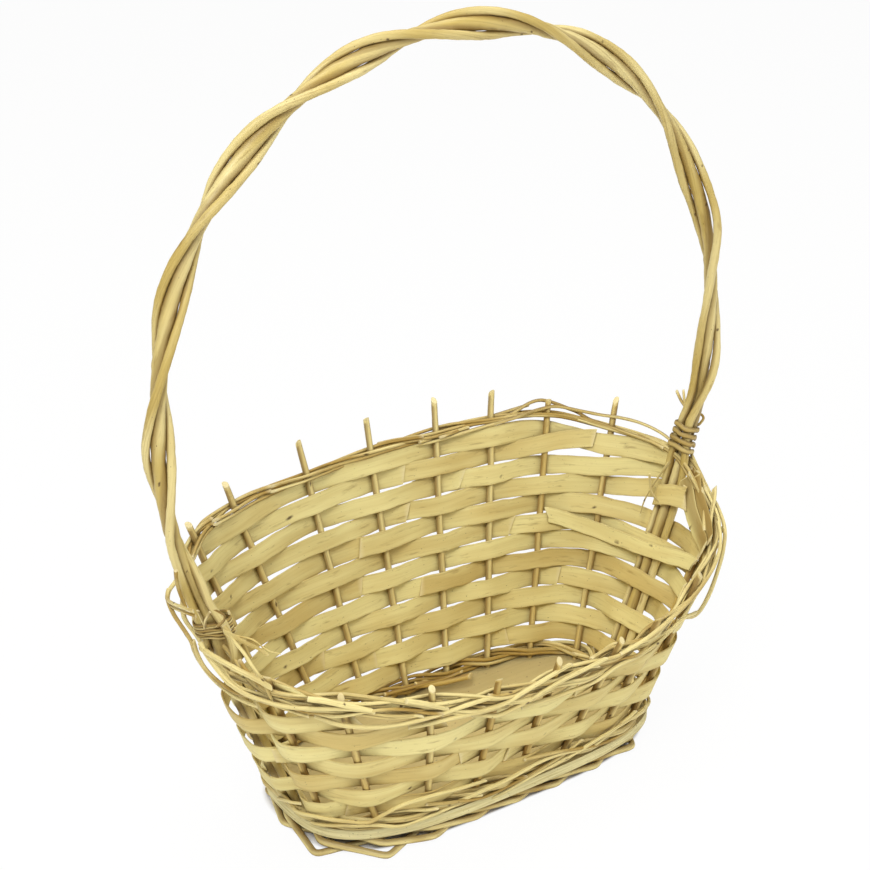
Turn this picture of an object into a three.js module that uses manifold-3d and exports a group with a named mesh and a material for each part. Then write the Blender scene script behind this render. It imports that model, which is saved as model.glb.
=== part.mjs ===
// Oval gift basket with a high back, a low front and a twisted hoop handle.
// Flat split-willow chips are woven in and out of round willow stakes that stand in a wooden base board.
// Millimetres, +Z up, X along the handle, the low front at -Y.

import * as THREE from 'three';
import { mergeVertices } from 'three/addons/utils/BufferGeometryUtils.js';
import Module from 'manifold-3d';

// Driving dimensions: base board and the ring of holes for the uprights
const boardThickness = 6;
const holeRingLength = 210;
const holeRingWidth = 101;
const holeRingSquareness = 3.5;
const boardMargin = 5.5;

// Driving dimensions: mouth outline, stated at mouthRise above the middle of the board
const mouthRise = 132;
const mouthLength = 318;
const mouthWidth = 176;
const mouthSquareness = 2.3;
const mouthShiftX = 4;
const mouthShiftY = -8;

// Driving dimensions: willow pieces
const clearance = 0.3;
const chipWidth = 10.3;
const chipThickness = 1.0;
const chipRowGap = 0.7;
const baseWaleGap = 1.7;
const chipLapGap = 0.25;
const stakeDiameter = 3.4;
const tipCut = 2;
const middleRodDiameter = 6.6;
const sideRodDiameter = 4.2;
const rimRodDiameter = 2.9;
const borderRodDiameter = 3.2;
const baseRodDiameter = 2.8;
const baseWaleSpread = 2.6;
const footRodDiameter = 4.0;
const footFlatDepth = 0.5;
const footBulge = 2.4;
const uprightFootLift = 2;

// Driving dimensions: hoop of the handle, an oval arch over the long axis
const hoopSpan = 335;
const hoopCentreHeight = 221;
const hoopRise = 167.5;
const hoopSquareness = { left: 2.1, right: 1.97 };
const hoopShiftX = 0.5;
const handleHalfTwists = 8;
const twistGather = { left: 0.88, right: 0.33 };

// Driving dimensions: lappings that bind the handle rods above the rim
const lappingDiameter = 1.8;
const rightLapping = { turns: 4, pitch: 4.2 };
const leftLapping = { turns: 3, pitch: 3.2 };

// The uprights in ring order, counterclockwise from the right end of the handle.
// lean: how far the top leans along the rim, in shares of the space between two uprights.
// rim and tip: heights in chip rows.
const uprights = [
  { name: 'handle_right', lean: 0.34, rim: 11.2 },
  { name: 'stake_back_1', lean: 0.49, rim: 12.3, tip: 13.4 },
  { name: 'stake_back_2', lean: 0.42, rim: 12.6, tip: 13.3 },
  { name: 'stake_back_3', lean: 0.25, rim: 12.65, tip: 13.9 },
  { name: 'stake_back_4', lean: 0.1, rim: 12.5, tip: 14.1 },
  { name: 'stake_back_5', lean: 0.12, rim: 12.35, tip: 13.9 },
  { name: 'stake_back_6', lean: 0.15, rim: 12.3, tip: 13.8 },
  { name: 'stake_back_7', lean: 0.39, rim: 12.3, tip: 13.7 },
  { name: 'stake_back_8', lean: 0.29, rim: 12.1, tip: 13.2 },
  { name: 'stake_left', lean: 0, rim: 10.8, tip: 11.7 },
  { name: 'handle_left', lean: -0.25, rim: 9.05 },
  { name: 'stake_front_1', lean: -0.12, rim: 8.1, tip: 9.2 },
  { name: 'stake_front_2', lean: -0.27, rim: 7.6, tip: 8.7 },
  { name: 'stake_front_3', lean: 0, rim: 6.65, tip: 8.0 },
  { name: 'stake_front_4', lean: 0.05, rim: 5.85, tip: 7.4 },
  { name: 'stake_front_5', lean: 0.05, rim: 5.7, tip: 7.2 },
  { name: 'stake_front_6', lean: 0.37, rim: 5.6, tip: 6.9 },
  { name: 'stake_front_7', lean: 0.12, rim: 5.75, tip: 7.0 },
  { name: 'stake_front_8', lean: 0.15, rim: 6.8, tip: 8.0 },
  { name: 'stake_right', lean: 0.29, rim: 8.9, tip: 10.1 },
];

// Chip rows from the bottom up. A full row goes once round and laps over itself at an upright.
// A short row runs over the high back and ends just past an upright on each side.
const chipRows = [
  { lapAt: 4 }, { lapAt: 15 }, { lapAt: 7 }, { lapAt: 18 }, { lapAt: 2 },
  { from: -2.25, to: 13.22 },
  { from: -1.3, to: 12.14 },
  { from: -1.2, to: 9.35 },
  { from: -0.4, to: 9.35 },
  { from: -0.36, to: 9.2 },
  { from: 0.12, to: 8.3 },
  { from: 1.22, to: 7.25 },
];

// Values that follow from the driving dimensions
const count = uprights.length;
const rowPitch = chipWidth + chipRowGap;
const stakeRadius = stakeDiameter / 2;
const middleRodRadius = middleRodDiameter / 2;
const sideRodRadius = sideRodDiameter / 2;
const twistClearance = 0.45;
const lappingClearance = 0.5;
const sideRodOffset = middleRodRadius + sideRodRadius + twistClearance;
const bundleHalfWidth = sideRodOffset + sideRodRadius;
const boardHalf = boardThickness / 2;
const bundleSpots = [0, count / 2];
const strandGap = 0.35;
const coarseSlack = 0.25;
const fineSlack = 0.1;
const rodSides = 6;
const thinRodSides = 5;
const stakeSides = 8;
const threeStrandSpread = (diameter) => (diameter + strandGap) / Math.sqrt(3);
const twoStrandSpread = (diameter) => (diameter + strandGap) / 2;
const firstRowEdge = boardHalf + 2 * baseWaleSpread + baseRodDiameter + baseWaleGap;
const footSpread = twoStrandSpread(footRodDiameter);
const footLevel = -(boardHalf + clearance + footSpread + footRodDiameter / 2);
const footLowest = footLevel - footSpread - footRodDiameter / 2 + footFlatDepth;
const baseWaleLevel = boardHalf + clearance + baseWaleSpread + baseRodDiameter / 2;
const uprightFoot = footLowest + uprightFootLift;
const rimSpread = threeStrandSpread(rimRodDiameter);
const borderSpread = twoStrandSpread(borderRodDiameter);
const borderLift = rimSpread + rimRodDiameter / 2 + borderSpread + borderRodDiameter / 2 + clearance;
const rowsToWall = (rows) => firstRowEdge + rows * rowPitch;

function straw(name, color, roughness) {
  return new THREE.MeshStandardMaterial({ name, color, roughness, metalness: 0 });
}
const finishes = {
  chip: () => straw('willow_chip', 0xd8c48a, 0.6),
  stake: () => straw('willow_stake', 0xcbb06a, 0.55),
  handle: () => straw('willow_handle_rod', 0xc9ad68, 0.5),
  wale: () => straw('willow_wale_rod', 0xd2bb7c, 0.55),
  lapping: () => straw('willow_lapping', 0xc3a55f, 0.55),
  board: () => straw('base_board', 0xb8b08f, 0.8),
};

// Oval outline with squared ends, sampled by arc length: returns the point at a share of the way round
function ovalOutline(length, width, squareness) {
  const samples = 720;
  const points = [];
  for (let i = 0; i <= samples; i += 1) {
    const angle = (i / samples) * Math.PI * 2;
    const c = Math.cos(angle);
    const s = Math.sin(angle);
    const x = (length / 2) * Math.sign(c) * Math.abs(c) ** (2 / squareness);
    const y = (width / 2) * Math.sign(s) * Math.abs(s) ** (2 / squareness);
    points.push(new THREE.Vector2(x, y));
  }
  const lengths = [0];
  for (let i = 1; i <= samples; i += 1) {
    lengths.push(lengths[i - 1] + points[i].distanceTo(points[i - 1]));
  }
  const total = lengths[samples];
  const at = (share) => {
    const target = THREE.MathUtils.euclideanModulo(share, 1) * total;
    let low = 0;
    let high = samples;
    while (high - low > 1) {
      const middle = Math.floor((low + high) / 2);
      if (lengths[middle] <= target) low = middle;
      else high = middle;
    }
    return points[low].clone().lerp(points[high], (target - lengths[low]) / (lengths[high] - lengths[low]));
  };
  return { at, total };
}

const holeRing = ovalOutline(holeRingLength, holeRingWidth, holeRingSquareness);
const mouth = ovalOutline(mouthLength, mouthWidth, mouthSquareness);

// Smooth periodic value between the uprights, through one number on each
function betweenUprights(u, valueOf) {
  const cell = Math.floor(u);
  const f = u - cell;
  const at = (i) => valueOf(uprights[THREE.MathUtils.euclideanModulo(cell + i, count)]);
  const before = at(-1);
  const here = at(0);
  const next = at(1);
  const after = at(2);
  const slopeHere = (next - before) / 2;
  const slopeNext = (after - here) / 2;
  const f2 = f * f;
  const f3 = f2 * f;
  return (2 * f3 - 3 * f2 + 1) * here + (f3 - 2 * f2 + f) * slopeHere
    + (3 * f2 - 2 * f3) * next + (f3 - f2) * slopeNext;
}

// The wall is a ruled surface: u counts uprights round the ring, t is the distance up the wall
function wallLine(u) {
  const low = holeRing.at(u / count);
  const lean = betweenUprights(u, (upright) => upright.lean);
  const high = mouth.at((u + lean) / count);
  const start = new THREE.Vector3(low.x, low.y, 0);
  const end = new THREE.Vector3(high.x + mouthShiftX, high.y + mouthShiftY, mouthRise);
  return { start, up: end.sub(start).normalize() };
}

function wallPoint(u, t) {
  const { start, up } = wallLine(u);
  return start.addScaledVector(up, t);
}

// Point, direction up the wall and direction out of the wall
function wallFrame(u, t) {
  const step = 0.02;
  const along = wallPoint(u + step, t).sub(wallPoint(u - step, t)).normalize();
  const { up } = wallLine(u);
  const out = along.clone().cross(up).normalize();
  return { point: wallPoint(u, t), up, out, along };
}

// Uprights from u to the nearer bundle of handle rods
function awayFromBundle(u) {
  return Math.min(...bundleSpots.map((spot) => {
    const away = THREE.MathUtils.euclideanModulo(u - spot + count / 2, count) - count / 2;
    return Math.abs(away);
  }));
}

// How strongly the three handle rods widen the wall at u: 1 beside them, 0 an upright away
function bundleShare(u) {
  return 1 - THREE.MathUtils.smoothstep(awayFromBundle(u), 0.36, 0.9);
}

// Weaving phase: it rests while a piece passes an upright and moves on between two uprights
function weavePhase(u) {
  const cell = Math.floor(u);
  const rest = (i) => (bundleSpots.includes(THREE.MathUtils.euclideanModulo(i, count)) ? 0.33 : 0.08);
  const start = cell + rest(cell);
  const end = cell + 1 - rest(cell + 1);
  return cell + THREE.MathUtils.clamp((u - start) / (end - start), 0, 1);
}

// Stations along the weave between two uprights: closer together beside the handle rods
const fineSteps = [0, 0.25, 0.5, 0.75];
const coarseSteps = [0, 0.34, 0.67];
const footSteps = [0, 0.41, 0.59];
function weaveStations(from, to, plain) {
  const afterBundle = [0, 0.17, 0.34, 0.62, 0.82];
  const beforeBundle = [0, 0.18, 0.38, 0.66, 0.83];
  const list = [from];
  for (let cell = Math.floor(from); cell < to; cell += 1) {
    const isBundle = (i) => bundleSpots.includes(THREE.MathUtils.euclideanModulo(i, count));
    let steps = plain;
    if (isBundle(cell)) steps = afterBundle;
    else if (isBundle(cell + 1)) steps = beforeBundle;
    for (const step of steps) {
      const u = cell + step;
      if (u > from + 0.06 && u < to - 0.06) list.push(u);
    }
  }
  list.push(to);
  return list;
}

// Closed skin over rings of points, with flat ends
function skin(rings) {
  const sides = rings[0].length;
  const positions = [];
  for (const p of rings.flat()) positions.push(p.x, p.y, p.z);
  const index = [];
  for (let r = 0; r < rings.length - 1; r += 1) {
    for (let i = 0; i < sides; i += 1) {
      const j = (i + 1) % sides;
      const a = r * sides + i;
      const b = r * sides + j;
      index.push(a, b, b + sides, a, b + sides, a + sides);
    }
  }
  const last = (rings.length - 1) * sides;
  for (let i = 1; i < sides - 1; i += 1) {
    index.push(0, i + 1, i);
    index.push(last, last + i, last + i + 1);
  }
  const geometry = new THREE.BufferGeometry();
  geometry.setAttribute('position', new THREE.Float32BufferAttribute(positions, 3));
  geometry.setIndex(index);
  geometry.computeVertexNormals();
  return geometry;
}

// Round rod along points; side is a direction roughly square to the rod at each point
function rod(points, side, radius, sides, lowest = -Infinity) {
  const rings = points.map((point, i) => {
    const before = points[Math.max(i - 1, 0)];
    const after = points[Math.min(i + 1, points.length - 1)];
    const along = after.clone().sub(before).normalize();
    const a = side(i).clone().addScaledVector(along, -side(i).dot(along)).normalize();
    const b = along.clone().cross(a);
    const ring = [];
    for (let k = 0; k < sides; k += 1) {
      const angle = (k / sides) * Math.PI * 2;
      const p = point.clone().addScaledVector(a, radius * Math.cos(angle));
      p.addScaledVector(b, radius * Math.sin(angle));
      p.z = Math.max(p.z, lowest);
      ring.push(p);
    }
    return ring;
  });
  return skin(rings);
}

// Flat chip woven in and out of the uprights at row number k, counted from 1
function chip(k, row) {
  const full = row.lapAt !== undefined;
  const from = full ? row.lapAt - 0.45 : row.from;
  const to = full ? row.lapAt + count + 0.45 : row.to;
  const middle = rowsToWall(k - 0.5);
  const sign = k % 2 === 0 ? 1 : -1;
  const slant = 0.05;
  const stations = weaveStations(from, to, fineSteps);
  const rings = stations.map((u, i) => {
    const share = bundleShare(u);
    const reach = THREE.MathUtils.lerp(stakeRadius, middleRodRadius, share) + clearance + chipThickness / 2;
    let out = sign * Math.cos(Math.PI * weavePhase(u)) * reach;
    if (full) {
      const lapSide = sign * Math.cos(Math.PI * row.lapAt);
      const past = THREE.MathUtils.smoothstep(u, row.lapAt + count - 0.85, row.lapAt + count - 0.5);
      out += lapSide * past * (chipThickness + chipLapGap);
    }
    let cut = 0;
    if (i === 0) cut = slant;
    if (i === stations.length - 1) cut = -slant;
    return [[-1, -1], [1, -1], [1, 1], [-1, 1]].map(([across, face]) => {
      const frame = wallFrame(u + cut * across, middle + (across * chipWidth) / 2);
      return frame.point.addScaledVector(frame.out, out + (face * chipThickness) / 2);
    });
  });
  return skin(rings);
}

// Swing of a twined strand in and out of the wall at u, so that it clears the uprights on both sides.
// With three strands each passes in front of two uprights and behind one, with two it alternates.
function twineSwing(u, strands, diameter, slack) {
  const hug = THREE.MathUtils.lerp(stakeRadius, middleRodRadius, bundleShare(u));
  const reach = hug + diameter / 2 + clearance + slack;
  if (strands === 3) return { swing: (reach * 4) / 3, centre: reach / 3, reach };
  return { swing: reach, centre: 0, reach };
}

// Strands of willow rod that twine round the uprights as a rope does
function twinedRods({
  strands, diameter, spread, pathAt, from, to, steps, sides, slack, tightness = 0, bulgeAt = () => 0, lowest,
}) {
  const radius = diameter / 2;
  const closed = to - from >= count;
  const startOf = (j) => from + (closed ? j : 0);
  return Array.from({ length: strands }, (_, j) => {
    const start = startOf(j) + 0.05;
    const end = (closed ? startOf((j + 1) % strands) + count : to) - 0.05;
    const stations = weaveStations(start, end, steps);
    const outs = [];
    const points = stations.map((u) => {
      const { point, out, over } = pathAt(u);
      const angle = ((weavePhase(u) - j) * 2 * Math.PI) / strands;
      const { swing, centre, reach } = twineSwing(u, strands, diameter, slack);
      const bulge = bulgeAt(u);
      const free = centre + bulge / 2 - (swing + bulge / 2) * Math.cos(angle);
      const limit = reach + bulge;
      const pulled = free > limit ? limit + (free - limit) * (1 - tightness) : free;
      outs.push(out);
      return point.addScaledVector(out, pulled).addScaledVector(over, spread * Math.sin(angle));
    });
    return rod(points, (i) => outs[i], radius, sides, lowest);
  });
}

// Path of a wale that lies level, with its swing level too, at a height over the middle of the board
function levelPath(height) {
  return (u) => {
    const { up, out } = wallFrame(u, 0);
    const point = wallPoint(u, height / up.z);
    const level = new THREE.Vector3(out.x, out.y, 0);
    return { point, out: level.divideScalar(level.lengthSq()), over: up.divideScalar(up.z) };
  };
}

// Path of a wale at a height on the wall that may change with u
function walePath(heightAt, lift = 0) {
  return (u) => {
    const step = 0.02;
    const here = wallFrame(u, heightAt(u));
    const before = wallPoint(u - step, heightAt(u - step));
    const along = wallPoint(u + step, heightAt(u + step)).sub(before).normalize();
    const over = here.out.clone().cross(along).normalize();
    return { point: here.point.addScaledVector(over, lift), out: here.out, over };
  };
}

const rimHeight = (u) => rowsToWall(betweenUprights(u, (upright) => upright.rim));

// Middle line of the handle: up the wall, over the hoop and down the wall on the other side
const lappingLift = rimSpread + rimRodDiameter + lappingDiameter + clearance;
const rightLegTop = rowsToWall(uprights[0].rim) + lappingLift;
const leftLegTop = rowsToWall(uprights[count / 2].rim) + lappingLift;
const rightLappingLength = rightLapping.turns * rightLapping.pitch;
const leftLappingLength = leftLapping.turns * leftLapping.pitch;

function handleLine() {
  const legShares = [0, 0.4, 0.8, 0.95, 1];
  const bendSteps = 6;
  const archSteps = 14;
  const archPoint = (angle) => {
    const c = Math.cos(angle);
    const power = 2 / (c < 0 ? hoopSquareness.left : hoopSquareness.right);
    const x = hoopShiftX + (hoopSpan / 2) * Math.sign(c) * Math.abs(c) ** power;
    const rise = hoopRise * Math.max(Math.sin(angle), 0) ** power;
    return new THREE.Vector3(x, 0, hoopCentreHeight + rise);
  };
  // A leg lies straight on the wall, then bends smoothly into the arch
  const legPoints = (spot, top, archEnd) => {
    const points = legShares.map((share) => {
      const t = THREE.MathUtils.lerp(uprightFoot, top, share);
      return wallPoint(spot, t);
    });
    const start = wallPoint(spot, top);
    const end = archPoint(archEnd);
    const reach = start.distanceTo(end) / 3;
    const { up } = wallLine(spot);
    const before = end.clone().addScaledVector(new THREE.Vector3(0, 0, 1), -reach);
    const bend = new THREE.CubicBezierCurve3(start, start.clone().addScaledVector(up, reach), before, end);
    for (let i = 1; i < bendSteps; i += 1) points.push(bend.getPoint(i / bendSteps));
    return points;
  };
  const points = legPoints(count / 2, leftLegTop, Math.PI);
  for (let i = 0; i <= archSteps; i += 1) points.push(archPoint(Math.PI * (1 - i / archSteps)));
  points.push(...legPoints(0, rightLegTop, 0).reverse());
  const curve = new THREE.CatmullRomCurve3(points, false, 'centripetal');
  curve.arcLengthDivisions = 600;
  return curve;
}

const handleCurve = handleLine();
const handleLength = handleCurve.getLength();
const leftStraight = leftLegTop + leftLappingLength - uprightFoot;
const rightStraight = rightLegTop + rightLappingLength - uprightFoot;

// Place, direction and side direction of the rod bundle at a distance along the handle
function handleFrame(distance) {
  const share = distance / handleLength;
  const point = handleCurve.getPointAt(share);
  const along = handleCurve.getTangentAt(share);
  const back = new THREE.Vector3(0, 1, 0).addScaledVector(along, -along.y).normalize();
  const out = along.clone().cross(back).normalize();
  // Beside the wall the three rods lie along it, and between the lappings they twist
  const legTurn = (spot, up) => {
    const wallAlong = wallFrame(spot, uprightFoot + up).along;
    return Math.atan(wallAlong.dot(out) / wallAlong.dot(back));
  };
  const twisted = (distance - leftStraight) / (handleLength - leftStraight - rightStraight);
  const even = THREE.MathUtils.clamp(twisted, 0, 1);
  const gather = THREE.MathUtils.lerp(twistGather.left, twistGather.right, even);
  const eased = THREE.MathUtils.lerp(even, THREE.MathUtils.smoothstep(even, 0, 1), gather);
  const fromLeft = legTurn(count / 2, Math.min(distance, leftStraight));
  const fromRight = legTurn(0, Math.min(handleLength - distance, rightStraight));
  const crossing = THREE.MathUtils.smoothstep(share, 0.2, 0.8);
  const turn = THREE.MathUtils.lerp(fromLeft, fromRight, crossing) + handleHalfTwists * Math.PI * eased;
  const side = back.clone().multiplyScalar(Math.cos(turn)).addScaledVector(out, Math.sin(turn));
  return { point, along, out, side, face: side.clone().cross(along) };
}

function handleRod(offset, radius) {
  const legSteps = 4;
  const hoopSteps = 60;
  const leftLeg = leftLegTop - uprightFoot;
  const rightLeg = rightLegTop - uprightFoot;
  const distances = [];
  for (let i = 0; i < legSteps; i += 1) distances.push((i / legSteps) * leftLeg);
  for (let i = 0; i <= hoopSteps; i += 1) {
    distances.push(THREE.MathUtils.lerp(leftLeg, handleLength - rightLeg, i / hoopSteps));
  }
  for (let i = legSteps - 1; i >= 0; i -= 1) distances.push(handleLength - (i / legSteps) * rightLeg);
  const frames = distances.map(handleFrame);
  const points = frames.map((frame) => frame.point.clone().addScaledVector(frame.side, offset));
  return rod(points, (i) => frames[i].out, radius, rodSides);
}

// Thin willow wound round the three rods: an oblong helix in one unbroken length
function lapping(start, { turns, pitch }) {
  const radius = lappingDiameter / 2;
  const stepsPerTurn = 24;
  const bow = middleRodRadius + lappingClearance + radius;
  const halfFlat = bundleHalfWidth + lappingClearance + radius - bow;
  const points = [];
  const outs = [];
  for (let i = 0; i <= turns * stepsPerTurn; i += 1) {
    const angle = (i / stepsPerTurn) * Math.PI * 2;
    const frame = handleFrame(start + (i / stepsPerTurn) * pitch);
    const c = Math.cos(angle);
    const s = Math.sin(angle);
    const wide = Math.sign(c) * halfFlat * Math.min(1, Math.abs(c) * 2) + bow * c;
    const direction = frame.side.clone().multiplyScalar(c).addScaledVector(frame.face, s);
    points.push(frame.point.clone().addScaledVector(frame.side, wide).addScaledVector(frame.face, bow * s));
    outs.push(direction);
  }
  let least = Infinity;
  for (let i = 0; i < points.length; i += 1) {
    for (let j = i + stepsPerTurn / 2; j < points.length; j += 1) {
      least = Math.min(least, points[i].distanceTo(points[j]) - lappingDiameter);
    }
  }
  return { geometry: rod(points, (i) => outs[i], radius, rodSides), least };
}

// Straight stake with an oblique cut at its tip
function stake(i, upright) {
  const top = rowsToWall(upright.tip);
  const { up, out, along } = wallFrame(i, 0);
  const ringAt = (t, cut) => Array.from({ length: stakeSides }, (_, k) => {
    const angle = (k / stakeSides) * Math.PI * 2;
    const shift = cut * Math.cos(angle);
    return wallPoint(i, t + shift).addScaledVector(out, stakeRadius * Math.cos(angle))
      .addScaledVector(up.clone().cross(out), stakeRadius * Math.sin(angle));
  });
  const obliqueCut = along.y > 0 ? tipCut : -tipCut;
  return skin([ringAt(uprightFoot, 0), ringAt(top, obliqueCut)]);
}

// Base board with a slanted hole for every upright
async function baseBoard() {
  const wasm = await Module();
  wasm.setup();
  const solid = (geometry) => {
    const bare = geometry.clone();
    bare.deleteAttribute('normal');
    bare.deleteAttribute('uv');
    const merged = mergeVertices(bare, 1e-4);
    return new wasm.Manifold(new wasm.Mesh({
      numProp: 3,
      vertProperties: new Float32Array(merged.attributes.position.array),
      triVerts: new Uint32Array(merged.index.array),
    }));
  };
  const boardLength = holeRingLength + 2 * boardMargin;
  const boardWidth = holeRingWidth + 2 * boardMargin;
  const edge = ovalOutline(boardLength, boardWidth, holeRingSquareness);
  const edgePoints = 48;
  const outline = new THREE.Shape(Array.from({ length: edgePoints }, (_, i) => edge.at(i / edgePoints)));
  const slab = new THREE.ExtrudeGeometry(outline, { depth: boardThickness, bevelEnabled: false });
  slab.translate(0, 0, -boardHalf);
  let board = solid(slab);
  const drill = (centre, up, radius) => {
    const hole = new THREE.CylinderGeometry(radius, radius, boardThickness * 3, stakeSides);
    hole.applyQuaternion(new THREE.Quaternion().setFromUnitVectors(new THREE.Vector3(0, 1, 0), up));
    hole.translate(centre.x, centre.y, centre.z);
    board = board.subtract(solid(hole));
  };
  uprights.forEach((upright, i) => {
    const { point, up, along } = wallFrame(i, 0);
    if (!bundleSpots.includes(i)) {
      drill(point, up, stakeRadius + clearance);
      return;
    }
    for (const offset of [-sideRodOffset, 0, sideRodOffset]) {
      const radius = offset === 0 ? middleRodRadius : sideRodRadius;
      drill(point.clone().addScaledVector(along, offset), up, radius + clearance);
    }
  });
  const mesh = board.getMesh();
  const geometry = new THREE.BufferGeometry();
  geometry.setAttribute('position', new THREE.BufferAttribute(new Float32Array(mesh.vertProperties), 3));
  geometry.setIndex(new THREE.BufferAttribute(new Uint32Array(mesh.triVerts), 1));
  geometry.computeVertexNormals();
  return geometry;
}

const basket = new THREE.Group();
const addPart = (name, geometry, finish) => {
  const mesh = new THREE.Mesh(geometry, finish());
  mesh.name = name;
  basket.add(mesh);
};

addPart('base_board', await baseBoard(), finishes.board);

uprights.forEach((upright, i) => {
  if (!bundleSpots.includes(i)) addPart(upright.name, stake(i, upright), finishes.stake);
});

addPart('handle_rod_front', handleRod(-sideRodOffset, sideRodRadius), finishes.handle);
addPart('handle_rod_middle', handleRod(0, middleRodRadius), finishes.handle);
addPart('handle_rod_back', handleRod(sideRodOffset, sideRodRadius), finishes.handle);

chipRows.forEach((row, i) => addPart(`chip_row_${i + 1}`, chip(i + 1, row), finishes.chip));

// The foot stands out most round the two ends of the basket
const footBulgeAt = (u) => footBulge * (1 - THREE.MathUtils.smoothstep(awayFromBundle(u), 1.5, 3.5));
const footRods = twinedRods({
  strands: 2,
  diameter: footRodDiameter,
  spread: footSpread,
  pathAt: levelPath(footLevel),
  from: 3.5,
  to: 3.5 + count,
  steps: footSteps,
  sides: rodSides,
  slack: coarseSlack,
  bulgeAt: footBulgeAt,
  lowest: footLowest,
});
footRods.forEach((geometry, i) => addPart(`foot_rod_${i + 1}`, geometry, finishes.wale));

const baseWale = twinedRods({
  strands: 3,
  diameter: baseRodDiameter,
  spread: baseWaleSpread,
  pathAt: levelPath(baseWaleLevel),
  from: 5.5,
  to: 5.5 + count,
  steps: coarseSteps,
  sides: thinRodSides,
  slack: coarseSlack,
  tightness: 0.75,
});
baseWale.forEach((geometry, i) => addPart(`base_wale_rod_${i + 1}`, geometry, finishes.wale));

const rimWale = twinedRods({
  strands: 3,
  diameter: rimRodDiameter,
  spread: rimSpread,
  pathAt: walePath(rimHeight),
  from: 6.5,
  to: 6.5 + count,
  steps: fineSteps,
  sides: thinRodSides,
  slack: fineSlack,
});
rimWale.forEach((geometry, i) => addPart(`rim_wale_rod_${i + 1}`, geometry, finishes.wale));

const frontBorder = twinedRods({
  strands: 2,
  diameter: borderRodDiameter,
  spread: borderSpread,
  pathAt: walePath(rimHeight, borderLift),
  from: 10.45,
  to: 19.45,
  steps: fineSteps,
  sides: rodSides,
  slack: fineSlack,
});
frontBorder.forEach((geometry, i) => addPart(`front_border_rod_${i + 1}`, geometry, finishes.wale));

const leftBinding = lapping(leftLegTop - uprightFoot, leftLapping);
addPart('lapping_left', leftBinding.geometry, finishes.lapping);
const rightBinding = lapping(handleLength - rightStraight, rightLapping);
addPart('lapping_right', rightBinding.geometry, finishes.lapping);
const leastGap = Math.min(leftBinding.least, rightBinding.least);
console.log(`least gap of a lapping to itself: ${leastGap.toFixed(2)} mm`);

// The origin is the middle of the footprint, on the surface that the basket stands on
const bounds = new THREE.Box3().setFromObject(basket);
const middle = bounds.getCenter(new THREE.Vector3());
basket.position.set(-middle.x, -middle.y, -bounds.min.z);

export default basket;
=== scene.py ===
"""Looks of an oval willow gift basket with a low front, a high back and a twisted hoop handle.

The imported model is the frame. Every willow piece is laid again in its own place with the bends, cuts and
grain of real split and round willow, and then stands for its node.
"""

import logging
import math
from collections.abc import Callable
from dataclasses import dataclass, field
from enum import Enum

import bpy
import numpy as np
from mathutils import Matrix, Vector


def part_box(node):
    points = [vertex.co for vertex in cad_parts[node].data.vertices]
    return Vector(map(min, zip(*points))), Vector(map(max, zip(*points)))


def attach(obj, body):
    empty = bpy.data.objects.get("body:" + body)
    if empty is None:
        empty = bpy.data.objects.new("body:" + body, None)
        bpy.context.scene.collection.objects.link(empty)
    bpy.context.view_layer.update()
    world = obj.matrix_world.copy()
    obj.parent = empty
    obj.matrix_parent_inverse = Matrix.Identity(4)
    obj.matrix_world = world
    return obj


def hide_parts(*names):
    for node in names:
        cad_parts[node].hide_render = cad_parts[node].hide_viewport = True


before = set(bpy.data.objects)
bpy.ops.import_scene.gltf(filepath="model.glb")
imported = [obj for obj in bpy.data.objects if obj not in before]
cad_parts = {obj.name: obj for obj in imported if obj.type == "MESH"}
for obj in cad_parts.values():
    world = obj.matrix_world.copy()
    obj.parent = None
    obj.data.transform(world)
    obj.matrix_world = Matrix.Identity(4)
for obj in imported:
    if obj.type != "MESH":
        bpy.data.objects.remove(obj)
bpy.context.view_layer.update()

MM = 0.001
# Ring of holes for the uprights in the board: length and width in mm, and squareness.
RING_LENGTH, RING_WIDTH, RING_SQUARENESS = 210.0, 101.0, 3.5
LOG = logging.getLogger("gift_basket")


def smoothstep(low: float, high: float, value: np.ndarray) -> np.ndarray:
    """Eases from 0 at low to 1 at high.

    Args:
        low: value at which the ease starts.
        high: value at which it ends.
        value: one number or many.

    Returns:
        The eased share of each value.
    """
    share = np.clip((np.asarray(value, float) - low) / (high - low), 0.0, 1.0)
    return share * share * (3.0 - 2.0 * share)


def unit(vectors: np.ndarray) -> np.ndarray:
    """Returns the vectors at length 1."""
    return vectors / np.linalg.norm(vectors, axis=-1, keepdims=True)


def swell(value: np.ndarray, middle: float, width: float) -> np.ndarray:
    """Returns a round hump, 1 in the middle."""
    return np.exp(-((value - middle) / width) ** 2)


def wander(at: np.ndarray, seed: int, size: float, longest: float, shortest: float) -> np.ndarray:
    """Smooth seeded unevenness along a piece, as hand work and grown rods have.

    Args:
        at: where it is read.
        seed: makes each piece its own.
        size: about the largest departure.
        longest: longest wave, in the unit of at.
        shortest: shortest wave.

    Returns:
        The departure at each place.
    """
    draw = np.random.default_rng(seed)
    waves = np.geomspace(longest, shortest, 7)
    phases = draw.uniform(0.0, 2.0 * math.pi, len(waves))
    heights = draw.uniform(0.4, 1.0, len(waves)) * (waves / longest) ** 0.4
    heights = heights * size / np.sum(heights) * 1.6
    turn = 2.0 * math.pi * np.asarray(at, float)[..., None] / waves
    return np.sum(heights * np.sin(turn + phases), axis=-1)


def run_of(points: np.ndarray) -> np.ndarray:
    """Returns the running length of a path at each of its points."""
    return np.concatenate([[0.0], np.cumsum(np.linalg.norm(np.diff(points, axis=0), axis=1))])


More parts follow.
